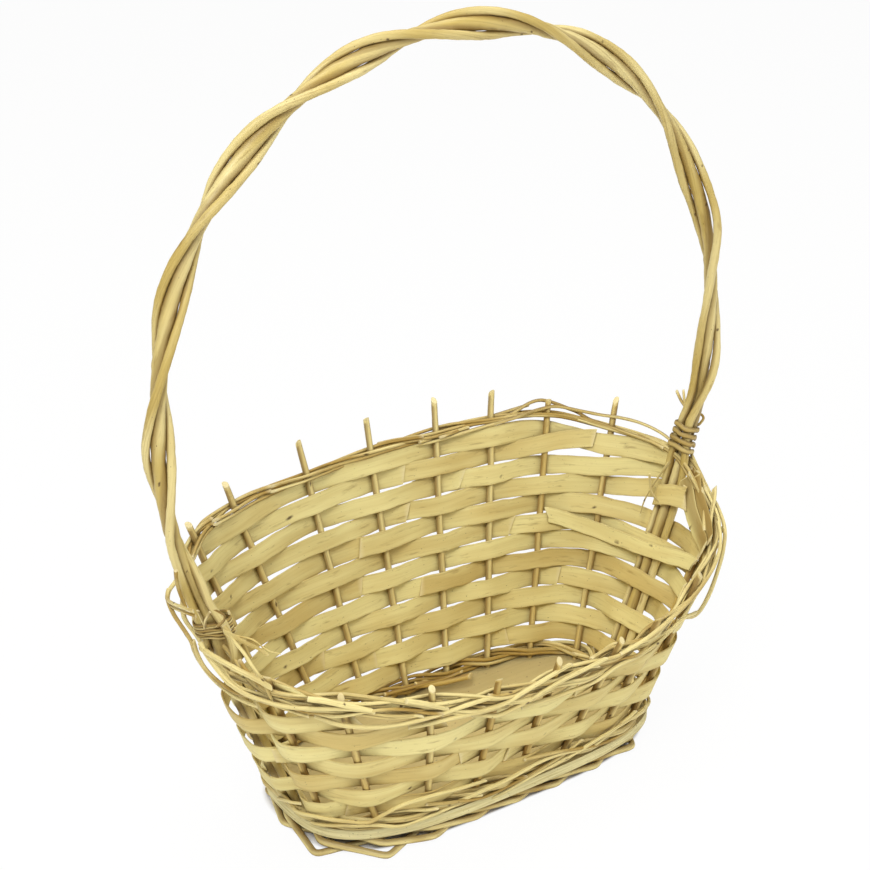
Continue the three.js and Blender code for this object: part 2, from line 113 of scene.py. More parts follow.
class Oval:
    """Oval outline with squared ends, read by the share of the way round."""

    def __init__(self, length: float, width: float, squareness: float) -> None:
        """Samples the outline evenly by angle and keeps its running length.

        Args:
            length: along X, in mm.
            width: along Y, in mm.
            squareness: 2 is an ellipse, more is squarer.
        """
        angle = np.linspace(0.0, 2.0 * math.pi, 721)
        c, s = np.cos(angle), np.sin(angle)
        power = 2.0 / squareness
        self.x = length / 2 * np.sign(c) * np.abs(c) ** power
        self.y = width / 2 * np.sign(s) * np.abs(s) ** power
        steps = np.hypot(np.diff(self.x), np.diff(self.y))
        self.run = np.concatenate([[0.0], np.cumsum(steps)])
        self.total = float(self.run[-1])

    def at(self, share: np.ndarray) -> np.ndarray:
        """Returns the point or points at a share of the way round, counterclockwise from +X."""
        target = np.mod(share, 1.0) * self.total
        return np.stack([np.interp(target, self.run, self.x), np.interp(target, self.run, self.y)], axis=-1)


@dataclass(frozen=True)
class Upright:
    """A stake or a leg of the handle: its lean in shares of a space, its rim and its tip in chip rows."""

    name: str
    lean: float
    rim: float
    tip: float = 0.0


UPRIGHTS = tuple(Upright(*row) for row in (
    ("handle_right", 0.34, 11.2), ("stake_back_1", 0.49, 11.6, 13.1),
    ("stake_back_2", 0.42, 12.25, 13.0), ("stake_back_3", 0.25, 12.35, 13.75),
    ("stake_back_4", 0.1, 12.2, 13.9), ("stake_back_5", 0.12, 12.05, 13.8),
    ("stake_back_6", 0.15, 11.95, 13.7), ("stake_back_7", 0.39, 12.2, 13.5),
    ("stake_back_8", 0.29, 12.05, 12.95), ("stake_left", 0, 10.8, 11.7),
    ("handle_left", -0.25, 9.05), ("stake_front_1", -0.12, 8.1, 9.2),
    ("stake_front_2", -0.27, 7.6, 8.25), ("stake_front_3", 0, 6.65, 8.0),
    ("stake_front_4", 0.05, 5.85, 7.4), ("stake_front_5", 0.05, 5.7, 7.2),
    ("stake_front_6", 0.37, 5.6, 6.9), ("stake_front_7", 0.12, 5.75, 7.0),
    ("stake_front_8", 0.15, 6.8, 8.0), ("stake_right", 0.29, 8.9, 9.1),
))


@dataclass
class Wall:
    """The ruled wall that all pieces lie on: u counts uprights round the ring, t is mm up the wall."""

    hole_ring: Oval = field(default_factory=lambda: Oval(RING_LENGTH, RING_WIDTH, RING_SQUARENESS))
    mouth: Oval = field(default_factory=lambda: Oval(318, 176, 2.3))
    mouth_rise: float = 132.0
    mouth_shift: tuple[float, float] = (4.0, -8.0)
    board_thickness: float = 6.0
    row_pitch: float = 11.0
    base_wale_gap: float = 1.7
    stake_radius: float = 1.85
    handle_radius: float = 3.3
    foot_radius: float = 2.0
    clearance: float = 0.3
    base_spread: float = 2.6
    base_radius: float = 1.4

    def __post_init__(self) -> None:
        """Works out what follows from the sizes."""
        self.count = len(UPRIGHTS)
        self.board_half = self.board_thickness / 2
        self.first_row = self.board_half + 2 * self.base_spread + 2 * self.base_radius + self.base_wale_gap
        self.foot_spread = (2 * self.foot_radius + 0.35) / 2
        self.foot_level = -(self.board_half + self.clearance + self.foot_spread + self.foot_radius)
        self.foot_lowest = self.foot_level - self.foot_spread - self.foot_radius + 0.5
        self.upright_foot = self.foot_lowest + 2
        self.base_level = self.board_half + self.clearance + self.base_spread + self.base_radius
        low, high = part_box("base_board")
        self.shift = (np.array(low) + np.array(high)) / 2 / MM
        self.lean_values = np.array([upright.lean for upright in UPRIGHTS], float)
        self.rim_values = np.array([upright.rim for upright in UPRIGHTS], float)

    def rows(self, rows: np.ndarray) -> np.ndarray:
        """Returns the distance up the wall of a height in chip rows."""
        return self.first_row + np.asarray(rows, float) * self.row_pitch

    def between(self, u: np.ndarray, values: np.ndarray) -> np.ndarray:
        """Smooth periodic value through one number on each upright.

        Args:
            u: places on the ring.
            values: one number per upright.

        Returns:
            The value at each place.
        """
        cell = np.floor(u).astype(int)
        f = u - cell
        before, here, after, last = (values[np.mod(cell + i, self.count)] for i in (-1, 0, 1, 2))
        slope_here, slope_after = (after - before) / 2, (last - here) / 2
        f2, f3 = f * f, f * f * f
        return ((2 * f3 - 3 * f2 + 1) * here + (f3 - 2 * f2 + f) * slope_here
                + (3 * f2 - 2 * f3) * after + (f3 - f2) * slope_after)

    def line(self, u: np.ndarray) -> tuple[np.ndarray, np.ndarray]:
        """Finds the straight line up the wall at each place.

        Args:
            u: places on the ring.

        Returns:
            Where the lines start at the board's middle, and their directions up.
        """
        u = np.atleast_1d(np.asarray(u, float))
        low = self.hole_ring.at(u / self.count)
        high = self.mouth.at((u + self.between(u, self.lean_values)) / self.count)
        start = np.column_stack([low, np.zeros(len(u))])
        end = np.column_stack([high + np.array(self.mouth_shift), np.full(len(u), self.mouth_rise)])
        return start, unit(end - start)

    def point(self, u: np.ndarray, t: np.ndarray) -> np.ndarray:
        """Returns points on the wall."""
        start, up = self.line(u)
        return start + up * np.broadcast_to(np.asarray(t, float), start[:, 0].shape)[:, None]

    def frame(self, u: np.ndarray, t: np.ndarray) -> tuple[np.ndarray, np.ndarray, np.ndarray, np.ndarray]:
        """Finds points on the wall and the axes there.

        Args:
            u: places on the ring.
            t: distances up the wall, in mm.

        Returns:
            The points, and the directions along the rim, up the wall and out of it.
        """
        u = np.atleast_1d(np.asarray(u, float))
        along = unit(self.point(u + 0.02, t) - self.point(u - 0.02, t))
        up = self.line(u)[1]
        return self.point(u, t), along, up, unit(np.cross(along, up))

    def bundle_share(self, u: np.ndarray) -> np.ndarray:
        """Tells how near a place is to one of the two legs of the handle.

        Args:
            u: places on the ring.

        Returns:
            1 beside the three handle rods and 0 an upright away.
        """
        reach = np.full(np.shape(u), 99.0)
        for spot in (0, self.count / 2):
            away = np.mod(u - spot + self.count / 2, self.count) - self.count / 2
            reach = np.minimum(reach, np.abs(away))
        return 1.0 - smoothstep(0.36, 0.9, reach)

    def phase(self, u: np.ndarray) -> np.ndarray:
        """Weaving phase: it rests while a piece passes an upright and moves on between two.

        Args:
            u: places on the ring.

        Returns:
            The phase, which grows by 1 from upright to upright.
        """
        cell = np.floor(u)

        def rest(index: np.ndarray) -> np.ndarray:
            """Returns how long the phase rests beside an upright, in cells."""
            return np.where(np.mod(index, self.count / 2) == 0, 0.33, 0.08)

        start, end = cell + rest(cell), cell + 1 - rest(cell + 1)
        return cell + np.clip((u - start) / (end - start), 0.0, 1.0)

    def sway(self, phase: np.ndarray, kink: float) -> np.ndarray:
        """Goes from 1 to -1 and back once in two phases.

        Args:
            phase: weaving phase.
            kink: 0 for a soft wave, 1 for straight runs with a bend at each upright.

        Returns:
            The sway at each phase.
        """
        straight = np.abs(np.mod(phase, 2.0) - 1.0) * 2.0 - 1.0
        return (1.0 - kink) * np.cos(math.pi * phase) + kink * straight

    def hug(self, u: np.ndarray) -> np.ndarray:
        """Returns the radius of the upright that a piece passes at u."""
        share = self.bundle_share(u)
        return self.stake_radius * (1 - share) + self.handle_radius * share

    def rim(self, u: np.ndarray) -> np.ndarray:
        """Returns the distance up the wall of the sloping rim."""
        return self.rows(self.between(np.asarray(u, float), self.rim_values))


def deselect_all() -> None:
    """Leaves nothing selected, in object mode."""
    if bpy.context.object is not None and bpy.context.object.mode != "OBJECT":
        bpy.ops.object.mode_set(mode="OBJECT")
    bpy.ops.object.select_all(action="DESELECT")


def edit_mesh(step: Callable[..., object], **settings: object) -> None:
    """Runs an operator on the whole active mesh and turns its faces outwards.

    Args:
        step: the operator.
        **settings: the operator's settings.
    """
    bpy.ops.object.mode_set(mode="EDIT")
    bpy.ops.mesh.select_all(action="SELECT")
    step(**settings)
    bpy.ops.mesh.select_all(action="SELECT")
    bpy.ops.mesh.normals_make_consistent(inside=False)
    bpy.ops.object.mode_set(mode="OBJECT")


@dataclass
class Skin:
    """A closed piece described as rings of points along its length, in mm on the wall's axes.

    The cross-section gives the grain its place across the piece. The edge share is painted shade: the long
    edges of a chip and the sides of a rod that lie against other pieces are browned where shade falls. The
    tone says how tan the piece is along its length, and the knots are dark scars.
    """

    name: str
    rings: np.ndarray
    section: np.ndarray
    # Share of painted shade at each section point: browner where the piece lies against others.
    edge: np.ndarray | None = None
    tone: np.ndarray | None = None
    knots: np.ndarray | None = None
    sharp_angle: float = 38.0

    def build(self, wall: Wall, seed: int) -> bpy.types.Object:
        """Shapes a grid primitive into the closed piece and marks its grain.

        Args:
            wall: gives the shift from the wall's axes to the model's.
            seed: moves the grain so that no two pieces look alike.

        Returns:
            The finished mesh object.
        """
        middles = self.rings.mean(axis=1)
        run = run_of(middles)
        order = np.concatenate([[0], np.arange(len(run)), [len(run) - 1]])
        rings = self.rings[order]
        rings[0], rings[-1] = middles[0], middles[-1]
        turn = np.concatenate([np.arange(rings.shape[1]), [0]])
        rings = rings[:, turn]
        rows, columns = rings.shape[:2]
        deselect_all()
        bpy.ops.mesh.primitive_grid_add(x_subdivisions=rows - 1, y_subdivisions=columns - 1, size=1.0)
        piece = bpy.context.object
        piece.name = piece.data.name = self.name
        flat = np.empty(len(piece.data.vertices) * 3)
        piece.data.vertices.foreach_get("co", flat)
        flat = flat.reshape(-1, 3)
        i = np.rint((flat[:, 0] + 0.5) * (rows - 1)).astype(int)
        j = np.rint((flat[:, 1] + 0.5) * (columns - 1)).astype(int)
        piece.data.vertices.foreach_set("co", ((rings[i, j] + wall.shift) * MM).ravel())
        draw = np.random.default_rng(seed)
        section = self.section[turn]
        grain = np.concatenate([run[order][i][:, None], section[j]], axis=1) + draw.uniform(0, 900, 3)
        piece.data.attributes.new("grain", "FLOAT_VECTOR", "POINT").data.foreach_set("vector", grain.ravel())
        ends = np.minimum(run[order][i], run[-1] - run[order][i])
        # Painted shade across the section, and -1 at the cut ends, which the material paints paler.
        worn = np.zeros(len(i)) if self.edge is None else self.edge[turn][j]
        worn = np.where(ends < 0.3, -1.0, worn)
        tone = np.full(len(i), draw.uniform(0.2, 0.8)) if self.tone is None else self.tone[order][i]
        knots = np.zeros(len(i)) if self.knots is None else self.knots[order][:, turn][i, j]
        for name, values in (("worn", worn), ("tone", tone), ("knot", knots)):
            piece.data.attributes.new(name, "FLOAT", "POINT").data.foreach_set("value", values)
        self.set_uv(piece, run[order], section, i, j)
        edit_mesh(bpy.ops.mesh.remove_doubles, threshold=0.004 * MM)
        bpy.ops.object.shade_smooth_by_angle(angle=math.radians(self.sharp_angle))
        return piece

    def set_uv(self, piece: bpy.types.Object, run: np.ndarray, section: np.ndarray,
               i: np.ndarray, j: np.ndarray) -> None:
        """Writes UVs that run along and round the piece, 1 for 100 mm.

        Args:
            piece: the shaped grid.
            run: mm along the piece at each ring.
            section: points of the cross-section.
            i: ring of each vertex.
            j: section point of each vertex.
        """
        corner = np.empty(len(piece.data.loops), int)
        piece.data.loops.foreach_get("vertex_index", corner)
        uv = np.stack([run[i[corner]], run_of(section)[j[corner]]], axis=1) / 100.0
        piece.data.uv_layers.active.data.foreach_set("uv", uv.ravel())


def knot_marks(seed: int, run: np.ndarray, radius: np.ndarray, angle: np.ndarray,
               spacing: float) -> np.ndarray:
    """Marks the scars where side shoots grew.

    Args:
        seed: makes the places this rod's own.
        run: mm along the rod.
        radius: radius at each ring.
        angle: angles round the rod.
        spacing: mm from one scar to the next, about.

    Returns:
        The share of scar at each point of each ring.
    """
    draw = np.random.default_rng(seed)
    marks = np.zeros((len(run), len(angle)))
    place = draw.uniform(0.2, 1.0) * spacing
    while place < run[-1]:
        size = draw.uniform(0.6, 1.2)  # mm
        round_rod = np.mod(angle - draw.uniform(0, 2 * math.pi) + math.pi, 2 * math.pi) - math.pi
        across = round_rod[None] * radius[:, None]
        away = ((run[:, None] - place) / size) ** 2 + (across / (0.7 * size)) ** 2
        marks = np.maximum(marks, np.exp(-away))
        place += spacing * draw.uniform(0.5, 1.6)
    return marks


def rod_skin(name: str, points: np.ndarray, guide: np.ndarray, radius: np.ndarray, seed: int,
             sides: int = 12, flatness: float = 1.0, cut: float = 0.0, unround: float = 0.04,
             lowest: float | None = None, knot_spacing: float = 70.0, tone: np.ndarray | None = None,
             inner: tuple[float, ...] = (math.pi,)) -> Skin:
    """Rings of a round or oval willow rod along a path.

    Args:
        name: name of the piece.
        points: path in mm.
        guide: direction roughly square to the path at each point.
        radius: radius at each point.
        seed: makes the rod's unevenness its own.
        sides: points round the rod.
        flatness: height of the section over its width.
        cut: how far the end is cut on a slant, in mm.
        unround: how far the section departs from round.
        lowest: height that no point goes under.
        knot_spacing: mm between the scars of side shoots.
        tone: how tan the rod is along its length.
        inner: angles, from the guide, of the sides that lie against other pieces, which get painted shade.

    Returns:
        The rod as a skin, with cut ends.
    """
    along = unit(np.gradient(points, axis=0))
    a = unit(guide - along * np.sum(guide * along, axis=1, keepdims=True))
    b = np.cross(along, a)
    angle = np.arange(sides) / sides * 2 * math.pi
    run = run_of(points)
    wobble = [wander(run, seed * 31 + k, unround, 60, 5)[:, None] for k in range(3)]
    knots = knot_marks(seed, run, radius, angle, knot_spacing)
    shape = 1 + wobble[0] + wobble[1] * np.cos(2 * angle) + wobble[2] * np.sin(3 * angle) + 0.09 * knots
    size = radius[:, None] * shape
    x, y = size * np.cos(angle), size * np.sin(angle) * flatness
    rings = points[:, None] + a[:, None] * x[..., None] + b[:, None] * y[..., None]
    if cut:
        fade = smoothstep(run[-1] - abs(cut) * 2.4 - 2, run[-1] - abs(cut) * 0.6, run)
        slant = cut * np.cos(angle)[None] * fade[:, None]
        rings = rings + along[:, None] * slant[..., None]
    ends = []
    for ring, direction in ((rings[0], -along[0]), (rings[-1], along[-1])):
        ends.append(ring.mean(axis=0) + (ring - ring.mean(axis=0)) * 0.84 + direction * 0.1)
    rings = np.concatenate([ends[0][None], rings, ends[1][None]], axis=0)
    knots = np.concatenate([knots[:1], knots, knots[-1:]], axis=0)
    if lowest is not None:
        rings[..., 2] = np.maximum(rings[..., 2], lowest)
    section = np.stack([np.cos(angle), np.sin(angle) * flatness], axis=1) * float(np.mean(radius))
    if tone is not None:
        tone = np.concatenate([tone[:1], tone, tone[-1:]])
    # Painted shade: a brown share on the inner sides, where shade falls between this rod and the pieces it
    # lies against.
    shade = np.max([smoothstep(0.1, 0.9, np.cos(angle - side)) for side in inner], axis=0)
    return Skin(name, rings, section, shade, tone, knots)


def relax(points: np.ndarray, passes: int) -> np.ndarray:
    """Rounds the corners of a path or of a row of numbers, and leaves its two ends.

    Args:
        points: the path or row.
        passes: how often it is rounded.

    Returns:
        The rounded one.
    """
    points = points.copy()
    for _ in range(passes):
        points[1:-1] = points[1:-1] / 2 + (points[:-2] + points[2:]) / 4
    return points


def spline(points: np.ndarray, steps: int) -> np.ndarray:
    """Centripetal spline through points.

    Args:
        points: the points it passes.
        steps: steps between two points.

    Returns:
        Close points along the curve.
    """
    ends = [2 * points[0] - points[1]], [2 * points[-1] - points[-2]]
    knots = np.concatenate([ends[0], points, ends[1]])
    share = np.linspace(0, 1, steps + 1)[:-1, None]
    fine = []
    for p0, p1, p2, p3 in zip(knots, knots[1:], knots[2:], knots[3:]):
        d0, d1, d2 = (math.sqrt(float(np.linalg.norm(b - a))) for a, b in ((p0, p1), (p1, p2), (p2, p3)))
        m1 = ((p1 - p0) / d0 - (p2 - p0) / (d0 + d1) + (p2 - p1) / d1) * d1
        m2 = ((p2 - p1) / d1 - (p3 - p1) / (d1 + d2) + (p3 - p2) / d2) * d1
        s2, s3 = share ** 2, share ** 3
        fine.append(p1 * (2 * s3 - 3 * s2 + 1) + m1 * (s3 - 2 * s2 + share)
                    + p2 * (3 * s2 - 2 * s3) + m2 * (s3 - s2))
    return np.concatenate(fine + [points[-1:]])


def srgb(code: str) -> tuple[float, float, float, float]:
    """Turns an sRGB hex colour to linear with full alpha.

    Args:
        code: the colour as #rrggbb.

    Returns:
        Linear red, green, blue and alpha.
    """
    values = [int(code[i:i + 2], 16) / 255 for i in (1, 3, 5)]
    linear = [v / 12.92 if v <= 0.04045 else ((v + 0.055) / 1.055) ** 2.4 for v in values]
    return (*linear, 1.0)


class NodeBench:
    """Adds nodes to one material or world and links them."""

    def __init__(self, owner: bpy.types.Material | bpy.types.World) -> None:
        """Starts with an empty node tree.

        Args:
            owner: the material or world that the nodes are for.
        """
        owner.use_nodes = True
        self.tree = owner.node_tree
        self.tree.nodes.clear()

    def add(self, kind: str, links: dict[str | int, object], **settings: object) -> bpy.types.Node:
        """Adds a node with its settings, values and links.

        Args:
            kind: Blender's name of the node type.
            links: input name or number to a value, or to a (node, output) pair.
            **settings: the node's own properties.

        Returns:
            The new node.
        """
        node = self.tree.nodes.new(kind)
        for key, value in settings.items():
            setattr(node, key, value)
        for key, value in links.items():
            if isinstance(value, tuple) and isinstance(value[0], bpy.types.Node):
                self.tree.links.new(value[0].outputs[value[1]], node.inputs[key])
            else:
                node.inputs[key].default_value = value
        return node

    def patterns(self, place: tuple, size_unit: float, roughness: float,
                 *sizes: tuple[float, float, float, float]) -> list[tuple[bpy.types.Node, int]]:
        """Lays out one noise for each set of sizes.

        Args:
            place: the (node, output) pair that says where a point is.
            size_unit: what 1 mm is in the place's own unit.
            roughness: how strong the finer layers of each noise are.
            *sizes: size along the three axes in mm, and the number of finer layers.

        Returns:
            The value of each noise, as a (node, output) pair.
        """
        noises = []
        for *axes, detail in sizes:
            scale = tuple(1 / (size * size_unit) for size in axes)
            scaled = self.add("ShaderNodeMapping", {"Vector": place, "Scale": scale})
            noises.append((self.add("ShaderNodeTexNoise", {"Vector": (scaled, "Vector"), "Scale": 1.0,
                                                           "Detail": detail, "Roughness": roughness}), 0))
        return noises

    def paint(self, colour: tuple, *layers: tuple[tuple, float, float, float, object]) -> tuple:
        """Lays colours one over the other, each by its own share.

        Args:
            colour: the lowest colour, or the (node, output) pair that gives it.
            *layers: for each colour the value that steers it, where it starts and ends, its full share and
                the colour.

        Returns:
            The colour on top, as a (node, output) pair.
        """
        for source, start, end, top, over in layers:
            share = self.add("ShaderNodeMapRange", {"Value": source, "From Min": start, "From Max": end,
                                                    "To Min": 0.0, "To Max": top})
            over = srgb(over) if isinstance(over, str) else over
            colour = self.add("ShaderNodeMix", {0: (share, 0), 6: colour, 7: over}, data_type="RGBA"), 2
        return colour

    def surface(self, colour: tuple, height: tuple, strength: float, depth: float, roughness: float | tuple,
                **inputs: float) -> None:
        """Closes a material with its shader, bumps and output.

        Args:
            colour: (node, output) pair of the colour.
            height: (node, output) pair of the relief.
            strength: strength of the relief.
            depth: depth of the relief in mm.
            roughness: a value or a (node, output) pair.
            **inputs: the shader's other inputs, with _ for a space.
        """
        bump = self.add("ShaderNodeBump", {"Height": height, "Strength": strength, "Distance": depth * MM})
        inputs = {name.replace("_", " "): value for name, value in inputs.items()}
        shader = self.add("ShaderNodeBsdfPrincipled", {"Base Color": colour, "Normal": (bump, 0),
                                                       "Roughness": roughness, **inputs})
        self.add("ShaderNodeOutputMaterial", {"Surface": (shader, "BSDF")})


@dataclass(frozen=True)
class Willow:
    """Peeled or split willow: pale sapwood with long fibres, tan stretches, brown streaks and dark scars.

    The sizes are in mm. The fibre of real willow is about 0.1 mm wide. It is drawn three to four times
    coarser, because a pixel of the render is about 0.5 mm.
    """

    name: str
    pale: str
    warm: str
    brown: str
    scar: str = "#4a2f14"
    cut_end: str = "#e0d2a2"
    tone_length: float = 70.0
    streak_width: float = 0.9
    streak_length: float = 34.0
    streak_depth: float = 0.4
    roughness: float = 0.5
    bump: float = 0.35

    def make(self) -> bpy.types.Material:
        """Builds the material on each piece's own grain, tone, shade and knot attributes. It paints brown
        shade on the sides where pieces lie against each other and in the crevices.

        Returns:
            The material.
        """
        material = bpy.data.materials.new(self.name)
        bench = NodeBench(material)
        grain, worn, tone, knot = (bench.add("ShaderNodeAttribute", {}, attribute_name=name)
                                   for name in ("grain", "worn", "tone", "knot"))
        drift, streak, fibre, stain, speck = bench.patterns(
            (grain, "Vector"), 1.0, 0.6, (self.tone_length, 7, 7, 2),
            (self.streak_length, self.streak_width, self.streak_width, 3),
            (9, 0.35, 0.35, 2), (14, 2.4, 2.4, 3), (1.5, 0.8, 0.8, 1))
        lean = bench.add("ShaderNodeMath", {0: (tone, "Fac"), 1: drift}, operation="ADD")
        # Painted shade: the occlusion node browns the crevices, where shade falls.
        crevice_shade = bench.add("ShaderNodeAmbientOcclusion", {"Distance": 7 * MM}, samples=8)
        pale_end = bench.add("ShaderNodeMath", {0: (worn, "Fac"), 1: -0.8}, operation="MULTIPLY")
        colour = bench.paint(
            srgb(self.pale), ((lean, 0), 0.7, 1.3, 1.0, self.warm),
            (streak, 0.5, 0.74, self.streak_depth, self.brown),
            (stain, 0.6, 0.78, 0.55, self.brown), (fibre, 0.62, 0.8, 0.25, self.pale),
            # Painted shade: brown on the shaded sides of each piece and in its crevices.
            ((worn, "Fac"), 0.2, 1.0, 0.6, self.brown), ((crevice_shade, "AO"), 0.7, 0.12, 0.55, self.brown),
            (speck, 0.74, 0.8, 0.8, self.scar), ((knot, "Fac"), 0.25, 0.6, 0.9, self.scar),
            ((pale_end, 0), 0.0, 0.8, 0.65, self.cut_end))
        relief = bench.add("ShaderNodeMath", {0: streak, 1: fibre}, operation="ADD")
        rough = bench.add("ShaderNodeMapRange", {
            "Value": streak, "From Min": 0.3, "From Max": 0.7,
            "To Min": self.roughness - 0.07, "To Max": self.roughness + 0.1})
        bench.surface(colour, (relief, 0), self.bump, 0.15, (rough, 0), IOR=1.45, Specular_IOR_Level=0.4)
        return material


@dataclass(frozen=True)
class Plywood:
    """Raw poplar plywood, sawn at the edge: grey-green pale plies with dark specks of loose grain."""

    name: str = "raw_plywood"
    face: str = "#bba870"
    ring: str = "#a8935c"
    edge_pale: str = "#e6dca6"
    edge_dark: str = "#c3b377"
    speck: str = "#5d4a24"

    def make(self) -> bpy.types.Material:
        """Builds the material on object coordinates, with the grain along X.

        Returns:
            The material.
        """
        material = bpy.data.materials.new(self.name)
        bench = NodeBench(material)
        place = bench.add("ShaderNodeTexCoord", {})
        grain, cloud, plies, speck = bench.patterns(
            (place, "Object"), MM, 0.5,
            (60, 2.2, 60, 4), (45, 30, 30, 2), (30, 30, 1.1, 3), (1.6, 1.6, 0.8, 2))
        normal = bench.add("ShaderNodeNewGeometry", {})
        parts = bench.add("ShaderNodeSeparateXYZ", {0: (normal, "Normal")})
        up = bench.add("ShaderNodeMath", {0: (parts, "Z")}, operation="ABSOLUTE")
        face = bench.paint(srgb(self.face), (grain, 0.42, 0.75, 0.45, self.ring),
                           (cloud, 0.5, 0.75, 0.5, self.ring))
        colour = bench.paint(srgb(self.edge_pale), (plies, 0.4, 0.68, 0.9, self.edge_dark),
                             ((up, 0), 0.3, 0.8, 1.0, face), (speck, 0.68, 0.74, 0.7, self.speck))
        bench.surface(colour, grain, 0.3, 0.2, 0.8)
        return material


class Finish(Enum):
    """The basket's finishes, by the material slot of the record that each one shows."""

    # Willow split and shaved to a flat chip: matt and pale, with short fine fibres.
    CHIP = "willow_chip", Willow("split_willow_chip", "#e3d693", "#cab36e", "#7d5a1c", streak_width=0.8,
                                 streak_length=26.0, streak_depth=0.14, roughness=0.58)
    # Peeled willow, dried: smooth with a satin sheen, in tan stretches.
    STAKE = "willow_stake", Willow("peeled_willow_stake", "#e3d391", "#c7ab60", "#6b4310", streak_width=0.8,
                                   roughness=0.48)
    # Thick peeled rods, bent wet: the smoothest, with long brown streaks.
    HANDLE = "willow_handle_rod", Willow("peeled_willow_handle_rod", "#d9c88a", "#bda55c", "#74531b",
                                         streak_length=60.0, streak_depth=0.35, roughness=0.44)
    # Thin peeled rods: satin and darker, with brown painted as shade where they lie against each other.
    WALE = "willow_wale_rod", Willow("peeled_thin_willow", "#decd8b", "#aa8c45", "#5f3d0c", streak_width=0.7,
                                     tone_length=45.0, roughness=0.48)
    # Willow split thin for binding: satin, with brown painted as shade at the edges where one turn meets the
    # next.
    LAPPING = "willow_lapping", Willow("willow_binding", "#dcc987", "#a88a44", "#4e3008", streak_width=0.5)
    # Sawn and unsanded plywood: matt, with its plies at the edge.
    BOARD = "base_board", Plywood()


@dataclass
class Workshop:
    """Builds pieces, dresses them and hands them to the model."""

    wall: Wall
    made: dict[Finish, bpy.types.Material] = field(default_factory=dict)

    def keep(self, piece: bpy.types.Object, finish: Finish, *nodes: str) -> None:
        """Dresses a piece, lets it ride on the basket and lets it stand for its nodes.

        Args:
            piece: the finished mesh.
            finish: its finish.
            *nodes: the nodes that it stands for, none for a loose end.
        """
        slot, recipe = finish.value
        if finish not in self.made:
            self.made[finish] = recipe.make()
        piece.data.materials.clear()
        piece.data.materials.append(self.made[finish])
        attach(piece, "root")
        if nodes:
            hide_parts(*nodes)
        LOG.info("%s: %d faces, %s", piece.name, len(piece.data.polygons), finish.name.lower())

    def lay(self, skin: Skin, seed: int, finish: Finish, *nodes: str) -> None:
        """Builds a skin and keeps it."""
        self.keep(skin.build(self.wall, seed), finish, *nodes)


@dataclass(frozen=True)
class ChipRow:
    """One row of split willow and the uprights at which one chip ends over the next.

    A full row goes once round and its chips end over each other. A short row runs between two free ends.
    It bends by some rows at given places, and its start may lie some mm out of the wall.
    """

    joints: tuple[int, ...]
    start: float | None = None
    end: float | None = None
    start_out: float | None = None
    bend: tuple[tuple[float, float], ...] = ((0.0, 0.0),)

    def chips(self, count: int) -> list[tuple[float, float, int | None]]:
        """Returns the start and end of each chip, and the upright where its end lies over the next one.

        Args:
            count: uprights in the whole ring.

        Returns:
            One entry for each chip.
        """
        overlap = 0.46
        if self.start is None:
            stops = [*self.joints, self.joints[0] + count]
            return [(a - overlap, b + overlap, b) for a, b in zip(stops, stops[1:])]
        stops = [self.start, *self.joints, self.end]
        chips = []
        for a, b in zip(stops, stops[1:]):
            joint = b if b != self.end else None
            chips.append((a - (overlap if a != self.start else 0.0), b + (overlap if joint else 0.0), joint))
        return chips


@dataclass(frozen=True)
class LooseChip:
    """A chip that leaves the rows, its path as upright, chip rows and mm out of the wall in turn."""

    name: str
    path: tuple[float, ...]
    width: float = 9.0
    slants: tuple[float, float] = (0.06, -0.08)
    tone: float = 0.2


LOOSE_CHIPS = (
    LooseChip("chip_end_over_right_leg", (0.17, 8.95, -4.2,  0.1, 9, -6,  -0.01, 9.13, -6.8,
        -0.16, 9.3, -6.8,  -0.42, 9.5, -6.2), 12.0, (0.0, 0.12), 0.6),
    LooseChip("long_chip_end_inside", (1.9, 6.95, -3.4,  1.6, 6.68, -3.7,  1.3, 6.42, -3.9,
        0.9, 6.18, -4.2,  0.4, 6.1, -5,  0, 6.15, -5.4,  -0.5, 6.42, -4.9,  -0.9, 6.75, -3.8,
        -1.15, 7, -2.4), 9.0),
)


